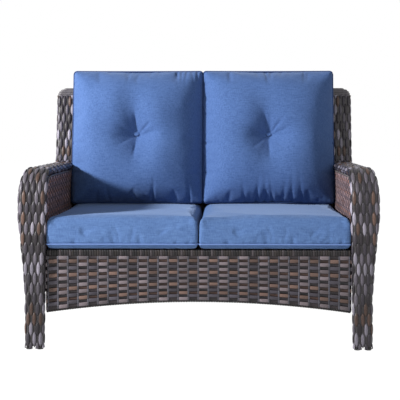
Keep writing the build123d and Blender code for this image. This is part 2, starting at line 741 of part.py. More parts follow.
def cushion_outline(x0, x1, y0, y1, corner, draw_in):
    """Face with rounded corners whose four sides are drawn in between them."""
    near = corner * (1 - math.sqrt(0.5))
    middle_x, middle_y = (x0 + x1) / 2, (y0 + y1) / 2
    with BuildLine() as outline:
        ThreePointArc((x0 + corner, y0), (middle_x, y0 + draw_in), (x1 - corner, y0))
        ThreePointArc((x1 - corner, y0), (x1 - near, y0 + near), (x1, y0 + corner))
        ThreePointArc((x1, y0 + corner), (x1 - draw_in, middle_y), (x1, y1 - corner))
        ThreePointArc((x1, y1 - corner), (x1 - near, y1 - near), (x1 - corner, y1))
        ThreePointArc((x1 - corner, y1), (middle_x, y1 - draw_in), (x0 + corner, y1))
        ThreePointArc((x0 + corner, y1), (x0 + near, y1 - near), (x0, y1 - corner))
        ThreePointArc((x0, y1 - corner), (x0 + draw_in, middle_y), (x0, y0 + corner))
        ThreePointArc((x0, y0 + corner), (x0 + near, y0 + near), (x0 + corner, y0))
    make_face(outline.edges())


def cushion_layers(foot_share, side_share, foot_inset_share):
    """Height and inset shares of a cushion's layers: rounded foot, side, and crown."""
    layers = []
    for step in range(foot_steps):
        angle = math.pi / 2 * (1 - step / foot_steps)
        layers.append((foot_share * (1 - math.sin(angle)), foot_inset_share * (1 - math.cos(angle))))
    layers.append((foot_share, 0))
    for step in range(crown_steps + 1):
        angle = math.pi / 2 * step / crown_steps
        layers.append((side_share + (1 - side_share) * math.sin(angle), 1 - math.cos(angle)))
    return layers


# Seat cushions: a crowned cover with a foam core inside
seat_bottom = deck_top + gap
seat_height = seat_top - seat_bottom
seat_front_y = front_y + seat_front_set_back
weave_foot_y = corner_y - (arm_mid_height - deck_top) * math.tan(math.radians(lean))
seat_rear_y = weave_foot_y - weave_far / math.cos(math.radians(lean)) - seat_rear_gap
foam_foot = seat_bottom + (seat_height - foam_height) / 2
for side, name in sides:
    x0, x1 = sorted((side * seat_inner_x, side * seat_outer_x))
    y0 = seat_front_y
    y1 = seat_rear_y
    with BuildPart() as seat_cushion:
        for layer, share in cushion_layers(seat_foot_share, seat_side_share,
                                           seat_foot_inset / seat_crown_inset):
            inset = seat_crown_inset * share
            with BuildSketch(Plane.XY.offset(seat_bottom + seat_height * layer)):
                cushion_outline(x0 + inset, x1 - inset, y0 + inset, y1 - inset, seat_corner, seat_draw_in)
        loft(ruled=True)
        with BuildSketch(Plane.XY.offset(foam_foot - gap)):
            with Locations(((x0 + x1) / 2, (y0 + y1) / 2)):
                RectangleRounded(x1 - x0 - 2 * (foam_inset - gap), y1 - y0 - 2 * (foam_inset - gap),
                                 foam_corner)
        extrude(amount=foam_height + 2 * gap, mode=Mode.SUBTRACT)
    save(seat_cushion, f"{name}_seat_cushion")

    with BuildPart() as seat_foam:
        with BuildSketch(Plane.XY.offset(foam_foot)):
            with Locations(((x0 + x1) / 2, (y0 + y1) / 2)):
                RectangleRounded(x1 - x0 - 2 * foam_inset, y1 - y0 - 2 * foam_inset, foam_corner)
        extrude(amount=foam_height)
    save(seat_foam, f"{name}_seat_foam")

# Back cushions: crowned, leaning on the back, each pulled in by one button and its cord
cushion_back = weave_far + gap
lean_rise = math.cos(math.radians(lean))
lean_step = math.sin(math.radians(lean))
side_seam = cushion_back + back_side_share * back_cushion_thickness
back_top_run = (cushion_top - arm_mid_height - side_seam * lean_step) / lean_rise
for side, name in sides:
    x0, x1 = sorted((side * back_inner_x, side * back_outer_x))
    middle_x = (x0 + x1) / 2
    seat_run = (seat_top + back_seat_clearance - arm_mid_height - cushion_back * lean_step) / lean_rise
    middle_run = (seat_run + back_top_run) / 2
    tuft_face = back_cushion_thickness - tuft_depth
    front_plane = lean_plane(cushion_back)
    tuft_middle = front_plane.from_local_coords((middle_x, middle_run, 0))
    tuft_plane = Plane(origin=tuft_middle, x_dir=(1, 0, 0), z_dir=front_plane.z_dir)
    half_width = (x1 - x0) / 2 - fill_inset
    half_height = (back_top_run - seat_run) / 2 - fill_inset

    with BuildPart() as back_cushion:
        for layer, share in cushion_layers(back_foot_share, back_side_share,
                                           back_foot_inset / back_crown_inset):
            forward = back_cushion_thickness * layer
            inset = back_crown_inset * share
            bottom = seat_run - forward * lean_step / lean_rise + back_bottom_inset * share
            top = back_top_run - back_top_inset * share
            with BuildSketch(lean_plane(cushion_back + forward)):
                cushion_outline(x0 + inset, x1 - inset, bottom, top, back_corner, back_draw_in)
        loft(ruled=True)
        with BuildSketch(Plane(origin=tuft_middle, x_dir=(1, 0, 0), z_dir=front_plane.y_dir)):
            with BuildLine():
                mouth_out, mouth_up = tuft_mouth_shares
                bowl_side = ThreePointArc(
                    (tuft_core_radius, -tuft_face),
                    (tuft_core_radius + (tuft_radius - tuft_core_radius) * mouth_out,
                     -tuft_face - tuft_depth * mouth_up),
                    (tuft_radius, -back_cushion_thickness - tuft_lift))
                Polyline(bowl_side @ 1, (0, -back_cushion_thickness - tuft_lift), (0, -tuft_face),
                         bowl_side @ 0)
            make_face()
        revolve(axis=Axis(tuft_middle, front_plane.z_dir), mode=Mode.SUBTRACT)
        with BuildSketch(tuft_plane):
            Circle(tuft_core_radius)
        extrude(amount=rear_tuft_depth, mode=Mode.SUBTRACT)
        with BuildSketch(tuft_plane):
            Circle(tuft_bore_radius)
        extrude(amount=tuft_face, mode=Mode.SUBTRACT)
        with BuildSketch(tuft_plane.offset(fill_set_back - gap)):
            RectangleRounded(2 * (half_width + gap), 2 * (half_height + gap), fill_corner)
        extrude(amount=fill_thickness + 2 * gap, mode=Mode.SUBTRACT)
    save(back_cushion, f"{name}_back_cushion")

    with BuildPart() as back_fill:
        with BuildSketch(tuft_plane.offset(fill_set_back)):
            RectangleRounded(2 * half_width, 2 * half_height, fill_corner)
            Circle(tuft_bore_radius, mode=Mode.SUBTRACT)
        extrude(amount=fill_thickness)
    save(back_fill, f"{name}_back_fill")

    with BuildPart() as front_button:
        with BuildSketch(tuft_plane.offset(tuft_face)):
            Circle(button_radius)
        extrude(amount=button_height)
        front_edges = front_button.edges().filter_by(GeomType.CIRCLE)
        fillet(front_edges.sort_by(Axis(tuft_middle, front_plane.z_dir))[-1], radius=button_round)
    save(front_button, f"{name}_tuft_button")

    with BuildPart() as rear_button:
        with BuildSketch(tuft_plane.offset(rear_tuft_depth - rear_button_height)):
            Circle(button_radius)
        extrude(amount=rear_button_height)
    save(rear_button, f"{name}_rear_button")

    with BuildPart() as tuft_cord:
        with BuildSketch(tuft_plane.offset(rear_tuft_depth)):
            Circle(tuft_cord_radius)
        extrude(amount=tuft_face - rear_tuft_depth)
    save(tuft_cord, f"{name}_tuft_cord")
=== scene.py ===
import math

import bpy
import numpy as np
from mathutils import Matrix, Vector


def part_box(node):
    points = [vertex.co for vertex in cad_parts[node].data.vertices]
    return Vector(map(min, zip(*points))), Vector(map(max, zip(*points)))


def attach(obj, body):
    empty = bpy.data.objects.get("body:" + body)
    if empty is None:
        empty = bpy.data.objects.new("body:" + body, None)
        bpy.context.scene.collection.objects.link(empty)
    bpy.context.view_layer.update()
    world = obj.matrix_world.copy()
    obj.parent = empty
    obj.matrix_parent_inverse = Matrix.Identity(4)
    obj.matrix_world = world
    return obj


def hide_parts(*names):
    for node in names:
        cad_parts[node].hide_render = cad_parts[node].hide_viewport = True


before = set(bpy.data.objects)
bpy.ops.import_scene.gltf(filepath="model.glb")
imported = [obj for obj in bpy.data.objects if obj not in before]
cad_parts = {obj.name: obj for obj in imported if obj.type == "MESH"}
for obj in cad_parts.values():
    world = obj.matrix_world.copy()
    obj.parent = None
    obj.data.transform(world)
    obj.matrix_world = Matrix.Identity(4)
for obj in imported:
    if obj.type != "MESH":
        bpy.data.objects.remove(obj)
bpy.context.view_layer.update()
bpy.ops.object.select_all(action="DESELECT")

# Welded steel frame: bent arm tubes, legs, rails, bars and rungs.
# Mild steel tube, blasted and powder coated dark brown, with a fine orange-peel skin.
sides = ((-1, "left"), (1, "right"))


def both(*parts):
    """The names of parts that the left and the right side each have."""
    return [f"{side_name}_{part}" for _, side_name in sides for part in parts]


def start_material(name, colour, roughness, **looks):
    """A material with its shader's plain values set, ready for its nodes."""
    material = bpy.data.materials.new(name)
    material.use_nodes = True
    shader = material.node_tree.nodes["Principled BSDF"]
    for key, value in {"Base_Color": (*colour, 1), "Roughness": roughness, **looks}.items():
        shader.inputs[key.replace("_", " ")].default_value = value
    return material, shader


def add_node(owner, kind, settings=None, ordered=(), **named):
    """One shader node of a material or world; its inputs are values, or other nodes' outputs to link."""
    node = owner.node_tree.nodes.new("ShaderNode" + kind)
    for key, value in (settings or {}).items():
        setattr(node, key, value)
    for key, value in [*enumerate(ordered), *named.items()]:
        socket = node.inputs[key if isinstance(key, int) else key.replace("_", " ")]
        if isinstance(value, bpy.types.NodeSocket):
            owner.node_tree.links.new(value, socket)
        else:
            socket.default_value = value
    return node


def roughen(material, shader, texture, strength, distance):
    """Bump from a texture's output, into the shader's normal."""
    bump = add_node(material, "Bump", Strength=strength, Distance=distance, Height=texture)
    material.node_tree.links.new(bump.outputs["Normal"], shader.inputs["Normal"])


def mix_colours(material, shader, share, dark, light):
    """Base colour between a dark and a light, by a texture's share."""
    mix = add_node(material, "Mix", {"data_type": "RGBA"})
    material.node_tree.links.new(share, mix.inputs["Factor"])
    mix.inputs[6].default_value = (*dark, 1)
    mix.inputs[7].default_value = (*light, 1)
    material.node_tree.links.new(mix.outputs[2], shader.inputs["Base Color"])


def add_noise(material, place, scale, detail):
    """The share given by a noise whose place is stretched along its axes."""
    stretched = add_node(material, "Mapping", Vector=place, Scale=scale)
    noise = add_node(material, "TexNoise", Vector=stretched.outputs["Vector"], Scale=1.0, Detail=detail)
    return noise.outputs["Fac"]


def speckled(name, colour, roughness, scale, dark, light, strength, distance, **looks):
    """A material of fine mottled colour and bump, from one noise on Object coordinates."""
    material, shader = start_material(name, colour, roughness, **looks)
    place = add_node(material, "TexCoord").outputs["Object"]
    noise = add_node(material, "TexNoise", Vector=place, Scale=scale, Detail=4.0)
    mix_colours(material, shader, noise.outputs["Fac"], dark, light)
    roughen(material, shader, noise.outputs["Fac"], strength, distance)
    return material


def finish_solids(names, material):
    """Give the carried-over solids their material."""
    for name in names:
        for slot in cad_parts[name].material_slots:
            slot.material = material


powder_coat = speckled("powder_coat", (0.030, 0.020, 0.015), 0.45, 900, (0.022, 0.015, 0.011),
                       (0.040, 0.028, 0.021), 0.25, 0.0002)
finish_solids(["seat_front_rail", "seat_rear_rail", "seat_side_rails", "seat_crossbars", "apron_hem_rod",
               "apron_bars", "back_stiles", "back_bars", "back_crest_rail", "rear_skirt_rods"]
              + both("arm_outer_tube", "arm_inner_tube", "rear_leg_tubes", "arm_rungs", "arm_seat_rail"),
              powder_coat)

# Fasteners: zinc plated socket bolts with washers, screwed into brass threaded inserts.
# They join the seat frame and the back frame to the two arms.
zinc = speckled("zinc_plate", (0.55, 0.56, 0.58), 0.32, 400, (0.45, 0.46, 0.48), (0.64, 0.64, 0.65), 0.1,
                0.0001, Metallic=1.0)
finish_solids(["frame_bolts", "bolt_washers"], zinc)
brass = speckled("insert_brass", (0.60, 0.42, 0.18), 0.35, 500, (0.50, 0.34, 0.14), (0.68, 0.50, 0.24),
                 0.1, 0.0001, Metallic=1.0)
finish_solids(["threaded_inserts"], brass)

# Foot glides: one under each tube of the legs.
# They are black moulded nylon, pushed into the tube ends and scuffed underneath.
glide_nylon = speckled("glide_nylon", (0.02, 0.02, 0.02), 0.6, 260, (0.012, 0.012, 0.012),
                       (0.035, 0.034, 0.033), 0.3, 0.0003)
finish_solids(["front_foot_glides", "rear_foot_glides"], glide_nylon)

# Apron: flat resin strands woven over and under upright stakes, in front of the seat frame.
# The strands are extruded polyethylene in mixed greys and browns, with fine lengthwise streaks.
strand_rings = (-0.36, -0.18, 0.0, 0.18, 0.36)
strand_sides = 8
strand_thick = 0.0024
strand_overlap = 1.12
stake_width = 0.0062
# Each pair: the strand's own colour where a row stands out, and a darker painted shade where it goes back.
grey_strand = ((0.128, 0.105, 0.114), (0.020, 0.015, 0.017))
brown_strand = ((0.112, 0.070, 0.057), (0.034, 0.018, 0.014))
coal_strand = ((0.052, 0.046, 0.058), (0.012, 0.010, 0.012))
stake_tone = (0.060, 0.058, 0.072)
row_tones = np.array((grey_strand, brown_strand, grey_strand, coal_strand) * 3 + (brown_strand, coal_strand))
apron_y = -0.3443
apron_rows = 15
cell_width = 0.0340
apron_reach = 0.5172
apron_head = 0.3150
apron_hem_end = 0.1295
apron_hem_rise = 0.0370


def select_points(solid, chosen):
    """Select the points of a mesh that a test picks, and go into edit mode."""
    bpy.ops.object.mode_set(mode="OBJECT")
    for parts in (solid.data.polygons, solid.data.edges, solid.data.vertices):
        parts.foreach_set("select", [False] * len(parts))
    for point in solid.data.vertices:
        point.select = chosen(point.co)
    bpy.ops.object.mode_set(mode="EDIT")


def model_strand(name, rings):
    """A unit strand along X from a cylinder, with a ring of points at each place."""
    bpy.context.tool_settings.mesh_select_mode = (True, False, False)
    bpy.ops.mesh.primitive_cylinder_add(vertices=strand_sides, radius=0.5, depth=1,
                                        rotation=(0, math.pi / 2, 0))
    strand = bpy.context.object
    strand.name = name
    bpy.ops.object.transform_apply(location=False, rotation=True, scale=False)
    bpy.ops.object.mode_set(mode="EDIT")
    for place in rings:
        bpy.ops.mesh.select_all(action="SELECT")
        bpy.ops.mesh.bisect(plane_co=(place, 0, 0), plane_no=(1, 0, 0))
    bpy.ops.object.mode_set(mode="OBJECT")
    return strand


def take_shape(strand):
    """The points and faces of a modelled strand, which is then put away."""
    points = np.array([tuple(point.co) for point in strand.data.vertices])
    faces = [tuple(face.vertices) for face in strand.data.polygons]
    bpy.data.objects.remove(strand)
    return points, faces


def pick_only(piece):
    """Select one object and make it active."""
    bpy.ops.object.select_all(action="DESELECT")
    piece.select_set(True)
    bpy.context.view_layer.objects.active = piece


def finish_piece(name, mesh, material, body):
    """Make a mesh a piece that faces outwards and is smooth, with its material, slot and body."""
    piece = bpy.data.objects.new(name, mesh)
    mesh.materials.append(material)
    bpy.context.collection.objects.link(piece)
    pick_only(piece)
    bpy.ops.object.mode_set(mode="EDIT")
    bpy.ops.mesh.select_all(action="SELECT")
    bpy.ops.mesh.normals_make_consistent(inside=False)
    bpy.ops.object.mode_set(mode="OBJECT")
    bpy.ops.object.shade_smooth()
    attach(piece, body)
    return piece


def join_strands(name, faces, points, tones, along, material, nodes=()):
    """Join laid copies of one strand into a piece of the frame, which may replace solids.

    tones has a colour for each copy, or one for each of its points.
    """
    points, along = np.array(points), np.array(along)
    copies, each, _ = points.shape
    offsets = (np.arange(copies) * each)[:, None]
    all_faces = []
    for face in faces:
        all_faces += (np.array(face)[None, :] + offsets).tolist()
    mesh = bpy.data.meshes.new(name)
    mesh.from_pydata(points.reshape(-1, 3).tolist(), [], all_faces)
    shade = np.ones((copies * each, 4), np.float32)
    # The tones hold painted light and shade as well as the strands' own colours.
    shade[:, :3] = np.concatenate([np.broadcast_to(tone, (each, 3)) for tone in tones])
    mesh.attributes.new("strand", "FLOAT_COLOR", "POINT").data.foreach_set("color", shade.ravel())
    corner = np.zeros(len(mesh.loops), np.int32)
    mesh.loops.foreach_get("vertex_index", corner)
    mesh.uv_layers.new(name="strand_run").data.foreach_set("uv", along.reshape(-1, 2)[corner].ravel())
    piece = finish_piece(name, mesh, material, "frame")
    if nodes:
        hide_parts(*nodes)


def resin_material(name, roughness, streak):
    """Extruded resin strand: the piece's own strand colours, streaked along each strand.

    On the weaves and braids, these colours hold painted shade and painted light.
    """
    material, shader = start_material(name, (0.1, 0.09, 0.09), roughness, Specular_IOR_Level=0.3)
    tone = add_node(material, "Attribute", {"attribute_name": "strand"}).outputs["Color"]
    run = add_node(material, "UVMap", {"uv_map": "strand_run"}).outputs["UV"]
    noise = add_noise(material, run, (40, 900, 1), 3.0)
    level = add_node(material, "MapRange", Value=noise, From_Min=0.3, From_Max=0.7,
                     To_Min=1 - streak, To_Max=1 + streak)
    mix = add_node(material, "VectorMath", {"operation": "MULTIPLY"}, (tone, level.outputs["Result"]))
    material.node_tree.links.new(mix.outputs["Vector"], shader.inputs["Base Color"])
    roughen(material, shader, noise, 0.35, 0.0004)
    return material


woven_resin = resin_material("woven_resin", 0.42, 0.22)
weft_points, weft_faces = take_shape(model_strand("weft", strand_rings))


def weave(name, surface, across, head, foot, rows, seed, node, reach=None, cell=cell_width, lift=0.0022,
          stake_parts=3, tint=(1, 1, 1)):
    """Weave rows between head and foot, round stakes a cell apart, and lay them on a surface.

    across is the panel's extent along the rows, and reach gives the extent at a height, for a panel
    whose ends aren't upright. A row stands out or back by lift where it passes a stake; where it goes
    back its colour is the much darker one, painted as the shade in the recess.
    """
    chance = np.random.default_rng(seed)
    x, y, z = weft_points.T
    low, high = across
    laid, tones, runs = [], [], []
    bulge = np.cos(np.pi * np.clip(x, -0.5, 0.5)) ** 0.55
    first, last = math.floor(low / cell), math.ceil(high / cell)
    for row in range(rows):
        share = (row + 0.5) / rows
        raised_tone, painted_shade_tone = row_tones[row % len(row_tones)]
        for index in range(first, last):
            middle = (index + 0.5) * cell
            level = head(np.array(middle)) * (1 - share) + foot(np.array(middle)) * share
            start, end = reach(level) if reach else (low, high)
            if middle + cell / 2 < start + 0.003 or middle - cell / 2 > end - 0.003:
                continue
            along = np.clip(middle + x * cell, start, end)
            line = head(along) * (1 - share) + foot(along) * share
            pitch = (head(along) - foot(along)) / rows
            sign = 1 if (row + index) % 2 == 0 else -1
            height = sign * lift * bulge + z * strand_thick
            laid.append(surface(along, line + y * pitch * strand_overlap, height))
            # Painted shade: a row that goes back behind a stake takes the darker colour.
            tone = raised_tone if sign > 0 else painted_shade_tone
            tones.append(tone * chance.uniform(0.62, 1.30) * tint)
            runs.append(np.stack([along + row * 0.7, y * pitch + row * 0.31], 1))
    for index in range(first, last + 1):
        place = index * cell
        if not low + 0.002 < place < high - 0.002:
            continue
        top, bottom = float(head(np.array(place))), float(foot(np.array(place)))
        for part in range(stake_parts):
            part_share = (part + 0.5 + x) / stake_parts
            line = top * (1 - part_share) + bottom * part_share
            if reach:
                start, end = reach(float(np.mean(line)))
                if not start + 0.002 < place < end - 0.002:
                    continue
            height = 0.0012 + z * 0.0026 + 0.0004 * (part % 2)
            laid.append(surface(place + y * stake_width, line, height))
            tones.append(np.array(stake_tone) * chance.uniform(0.55, 1.25) * tint)
            runs.append(np.stack([line + index * 0.7, y * stake_width], 1))
    join_strands(name, weft_faces, laid, tones, runs, woven_resin, [node])


def level_line(height):
    """The edge of a panel that ends at one height."""
    return lambda u: np.full_like(u, height, dtype=float)


def arch(u, middle, half, end, rise):
    """The height of an arched lower edge, from its ends' height and its rise."""
    return end + rise * (1 - ((u - middle) / half) ** 2)


def apron_foot_line(u):
    """The apron's arched lower edge."""
    return arch(u, 0, apron_reach, apron_hem_end, apron_hem_rise)


def apron_surface(u, v, h):
    """World points of the apron, which stands upright."""
    return np.stack([u, apron_y - h, v], 1)


weave("woven_apron", apron_surface, (-apron_reach, apron_reach), level_line(apron_head), apron_foot_line,
      apron_rows, 11, "apron_weave", stake_parts=apron_rows)

# Arm panels: the same weave on the inside and outside of each arm, between the braided bands.
# The inner panel leans in a little, and the outer one has an arched foot.
leg_y = -0.3525
arm_mid = 0.5975
corner_y = 0.2395
roll_radius = 0.088
band_half = 0.0125
knee_height = 0.380
rear_foot_y = 0.3545
splay_rake = (rear_foot_y - corner_y) / knee_height
roll_y = leg_y + roll_radius
roll_z = arm_mid - roll_radius
inner_x_low = 0.5189
inner_low = 0.300
inner_lean = math.atan2(0.0064, arm_mid - inner_low)
inner_round = 0.0686
inner_rear = corner_y - 0.0131
outer_panel_x = 0.5795
outer_round = 0.0749
outer_foot_round = 0.0752
outer_rear = corner_y - 0.0137 + (knee_height - 0.1233) * splay_rake
outer_foot_end = 0.1245
side_hem_rise = 0.028


def round_front(radius):
    """How far a panel reaches along the arm at a height, with its rounded top front corner."""
    def span(level):
        over = max(level - roll_z, 0.0)
        start = roll_y - math.sqrt(max(radius ** 2 - over ** 2, 0.0))
        rear = corner_y - 0.0137
        if level < knee_height:
            rear += (knee_height - level) * splay_rake
        return start, rear
    return span


def inner_reach(level):
    """The inner panel's extent at a height: its rear end is upright, beside the back."""
    return round_front(inner_round)(level)[0], inner_rear


def outer_foot(u):
    """The outer panel's arched lower edge."""
    middle = (roll_y - outer_foot_round + outer_rear) / 2
    half = (outer_rear - roll_y + outer_foot_round) / 2
    return arch(u, middle, half, outer_foot_end, side_hem_rise)


for side, side_name in sides:
    def inner_surface(u, v, h, side=side):
        """World points of the inner panel, which leans in."""
        rise = v - inner_low
        x = inner_x_low + 0.0022 - rise * math.sin(inner_lean) - h * math.cos(inner_lean)
        return np.stack([side * x, u, inner_low + rise * math.cos(inner_lean) - h * math.sin(inner_lean)], 1)

    def outer_surface(u, v, h, side=side):
        """World points of the outer panel, which is upright."""
        return np.stack([side * (outer_panel_x + h), u, v], 1)

    weave(f"{side_name}_inner_panel", inner_surface, (roll_y - inner_round, inner_rear),
          level_line(roll_z + inner_round), level_line(inner_low + 0.001), 28, 21,
          f"{side_name}_inner_arm_weave", reach=inner_reach, cell=0.022, stake_parts=10, lift=0.0012,
          tint=(2.3, 1.75, 1.55))
    weave(f"{side_name}_outer_panel", outer_surface, (roll_y - outer_round, outer_rear),
          level_line(roll_z + outer_round), outer_foot, 37, 31,
          f"{side_name}_outer_arm_weave", reach=round_front(outer_round), stake_parts=6, lift=0.0016)

# Back and skirt: woven faces before and behind the back frame, and a skirt down behind the seat.
# They lean with the posts, and the skirt turns at the knee of the rear legs.
lean = math.radians(9)
post_height = 0.906
crest_run = (post_height - band_half - arm_mid) / math.cos(lean)
back_reach = 0.5105
lean_up = np.array([0, math.sin(lean), math.cos(lean)])
lean_front = np.array([0, -math.cos(lean), math.sin(lean)])
back_root = np.array([0, corner_y, arm_mid])


def back_surface(offset, facing):
    """Surface on the leaning back, moved forward by offset; height stands out to the facing side."""
    def surface(u, v, h):
        base = back_root + offset * lean_front
        return base + np.outer(v, lean_up) + np.outer(h * facing, lean_front) + np.outer(u, (1, 0, 0))
    return surface


weave_top = crest_run - band_half
face_offset = 0.0102
tube_half = 0.0083
deck_top = 0.337
front_weave_foot = (deck_top + 0.0005 - arm_mid - tube_half * math.sin(lean)) / math.cos(lean)
back_span = (-back_reach, back_reach)
weave("back_front_face", back_surface(face_offset, 1), back_span, level_line(weave_top),
      level_line(front_weave_foot), 36, 41, "back_front_weave", lift=0.0011)
weave("back_rear_face", back_surface(-face_offset, -1), back_span, level_line(weave_top), level_line(0),
      23, 51, "back_rear_weave", lift=0.0014)

skirt_near = tube_half / math.cos(math.atan(splay_rake)) + 0.0022


def skirt_surface(u, v, h):
    """Upright behind the legs above the knee, raked below it."""
    drop = np.maximum(knee_height - v, 0)
    return np.stack([u, corner_y + skirt_near + drop * splay_rake + h, v], 1)


weave("rear_skirt", skirt_surface, back_span, level_line(0.590), level_line(0.151), 36, 61,
      "rear_skirt_weave", stake_parts=12, lift=0.0014)

# Seat deck: a slack wide weave of the same strand that the seat cushions lie on.
# It is woven across the seat and tied down to the rails.
deck_front, deck_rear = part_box("seat_deck_weave")[0].y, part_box("seat_deck_weave")[1].y


def deck_surface(u, v, h):
    """World points of the deck, which is level and pulled flat."""
    return np.stack([u, v, deck_top - 0.002 + h * 0.6], 1)


weave("seat_deck", deck_surface, (-0.5175, 0.5175), level_line(deck_rear - 0.0005),
      level_line(deck_front + 0.0005), 32, 71, "seat_deck_weave", lift=0.0011)

# Braided bands: strands plaited lengthwise round the two tubes of each arm and of each rear leg.
# Every strand shows as a row of leaf-shaped floats, and its neighbours' floats sit half a float further on.
leaf_rings = (-0.42, -0.35, -0.27, -0.18, -0.09, 0.0, 0.09, 0.18, 0.27, 0.35, 0.42)
leaf_forms = {0.5: (0.34, 0.6, -0.60), 0.42: (0.36, 0.6, -0.60), 0.35: (0.52, 0.8, -0.30),
              0.27: (0.82, 1.0, 0.12), 0.18: (1.02, 1.0, 0.42), 0.09: (1.10, 1.0, 0.56),
              0.0: (1.12, 1.0, 0.60)}
leaf_period = 0.0680
leaf_length = 0.90
leaf_pitch = 0.0108
leaf_columns = 12
leaf_thick = 0.0030
leaf_lift = 0.0006
leaf_tones = ((0.215, 0.198, 0.240), (0.088, 0.078, 0.096), (0.078, 0.046, 0.036), (0.036, 0.031, 0.040),
              (0.020, 0.016, 0.020))
leaf_odds = (0.28, 0.24, 0.18, 0.18, 0.12)

leaf = model_strand("leaf", leaf_rings)
for place in (-0.5, *leaf_rings, 0.5):
    wide, thick, rise = leaf_forms[abs(place)]
    select_points(leaf, lambda co, place=place: abs(co.x - place) < 1e-4)
    bpy.ops.transform.resize(value=(1, wide, thick), center_override=(place, 0, 0))
    bpy.ops.transform.translate(value=(0, 0, rise))
bpy.ops.object.mode_set(mode="OBJECT")
leaf_points, leaf_faces = take_shape(leaf)
braided_resin = resin_material("braided_resin", 0.40, 0.30)
# The band under the floats shows in the gaps between them. Its near-black is partly dark resin and partly
# painted shade for the gaps.
dark_and_gap_shade_resin = speckled("dark_and_gap_shade_resin", (0.016, 0.013, 0.015), 0.5, 350, (0.008, 0.007, 0.008),
                      (0.028, 0.022, 0.025), 0.4, 0.0006)
finish_solids(both("arm_band", "rear_leg_band"), dark_and_gap_shade_resin)


def unit(ways):
    """Directions with their length made one."""
    return ways / np.linalg.norm(ways, axis=-1, keepdims=True)


def run_along(line):
    """How far along a line each of its points is."""
    return np.concatenate([[0], np.cumsum(np.linalg.norm(np.diff(line, axis=0), axis=1))])


def read_off(at, run, table):
    """The values of a table's columns at distances along a run."""
    return np.array([np.interp(at, run, column) for column in table.T])


def rounded_course(corners, radii, step=0.004):
    """Points along runs that are joined by arcs, in the side view, and how far along each corner is."""
    corners = np.array(corners, float)
    points, corner_marks, done, here = [corners[0]], [0.0], 0.0, corners[0]
    for index in range(1, len(corners)):
        corner, radius, turn = corners[index], radii[index], 0.0
        start = corner
        if radius and index < len(corners) - 1:
            before, after = unit(corner - corners[index - 1]), unit(corners[index + 1] - corner)
            turn = math.acos(float(np.clip(before @ after, -1, 1)))
            normal = unit(after - before * (before @ after))
            start = corner - before * radius * math.tan(turn / 2)
        legs = max(1, int(np.linalg.norm(start - here) / step))
        points += [here + (start - here) * (k + 1) / legs for k in range(legs)]
        done += np.linalg.norm(start - here)
        corner_marks.append(done + radius * turn / 2)
        here = start
        if turn:
            bends = max(2, int(radius * turn / step))
            angles = [turn * (k + 1) / bends for k in range(bends)]
            points += [start + before * radius * math.sin(angle) + normal * radius * (1 - math.cos(angle))
                       for angle in angles]
            done += radius * turn
            here = points[-1]
    return np.array(points), corner_marks


class Band:
    """The surface of one braided band, by distance along it, distance round it, and height above it."""

    def __init__(self, side, corners, radii, outer_x, inner_x):
        self.side = side
        line, marks = rounded_course(corners, radii)
        self.line, self.heading = line, unit(np.gradient(line, axis=0))
        self.run = run_along(line)
        self.length = self.run[-1]
        soft = np.ones(9) / 9
        self.outer, self.inner = (
            np.convolve(np.pad(np.interp(self.run, marks, edge), 4, "edge"), soft, "valid")
            for edge in (outer_x, inner_x))

    def width(self, run):
        """The band's whole width at a distance along it."""
        return np.interp(run, self.run, self.outer - self.inner) + 2 * band_half

    def half_round(self, run):
        """Distance from the inner edge's middle to the outer edge's middle, over the front."""
        return self.width(run) - 2 * band_half + math.pi * band_half

    def place(self, run, round_by, height, face):
        """World points; face is 1 on the front and top, -1 on the back and underside."""
        width = self.width(run)
        quarter = math.pi * band_half / 2
        flat_end = quarter + width - 2 * band_half
        first = np.clip(round_by / band_half, -0.6, math.pi / 2)
        last = np.clip((round_by - flat_end) / band_half, 0, math.pi / 2 + 0.6)
        flat = np.clip(round_by - quarter, 0, width - 2 * band_half)
        across = band_half - band_half * np.cos(first) + flat + band_half * np.sin(last)
        out = band_half * np.sin(first) + band_half * (np.cos(last) - 1)
        lean_across = -np.cos(first) * (round_by < quarter) + np.sin(last)
        lean_out = np.where(round_by < quarter, np.sin(first), np.cos(last))
        across = across + height * lean_across
        out = (out + height * lean_out) * face
        middle_y, middle_z = read_off(run, self.run, self.line)
        head_y, head_z = read_off(run, self.run, self.heading)
        inner = np.interp(run, self.run, self.inner) - band_half
        return np.stack([self.side * (inner + across), middle_y - head_z * out, middle_z + head_y * out], 1)


def braid(name, band, start, end, seed):
    """Lay the leaf floats in staggered columns all round a band."""
    chance = np.random.default_rng(seed)
    x, y, z = leaf_points.T
    laid, tones, runs = [], [], []
    for face in (1, -1):
        for column in range(leaf_columns):
            middle = (column + 0.5) * leaf_pitch
            shift = 0.5 * ((column + (face < 0)) % 2)
            for index in range(-1, int((end - start) / leaf_period) + 2):
                centre = start + (index + shift) * leaf_period
                if centre < start - leaf_period * 0.3 or centre > end + leaf_period * 0.3:
                    continue
                if middle > band.half_round(min(max(centre, start), end)) + leaf_pitch * 0.1:
                    continue
                tuck = 0.006 * (1 - abs(math.sin(2 * math.pi * middle / band.half_round(start))))
                run = np.clip(centre + x * leaf_period * leaf_length, start + tuck, end)
                wander = 0.0006 * chance.standard_normal()
                round_by = middle + wander + y * leaf_pitch
                round_by = np.minimum(round_by, band.half_round(run) + 0.0015)
                laid.append(band.place(run, round_by, leaf_lift + z * leaf_thick, face))
                tone = np.array(leaf_tones[chance.choice(len(leaf_tones), p=leaf_odds)])
                tone = tone * chance.uniform(0.8, 1.25)
                # Painted light and shade: leaves lighter at the arm's bulge and towards the rear of the arm
                # top and post,
                # darker elsewhere, and each leaf painted darker towards its underside and sunk ends, as shade
                # where it dips.
                painted_light = 0.72 + 0.50 * math.exp(-((centre - 0.46) / 0.14) ** 2) + 0.35 * (centre > 1.0)
                fade = painted_light * np.clip(0.16 + 0.80 * (z + 0.50), 0.10, 1.0)[:, None]
                tones.append(tone[None, :] * fade)
                runs.append(np.stack([run, round_by + column], 1))
    join_strands(name, leaf_faces, laid, tones, runs, braided_resin)


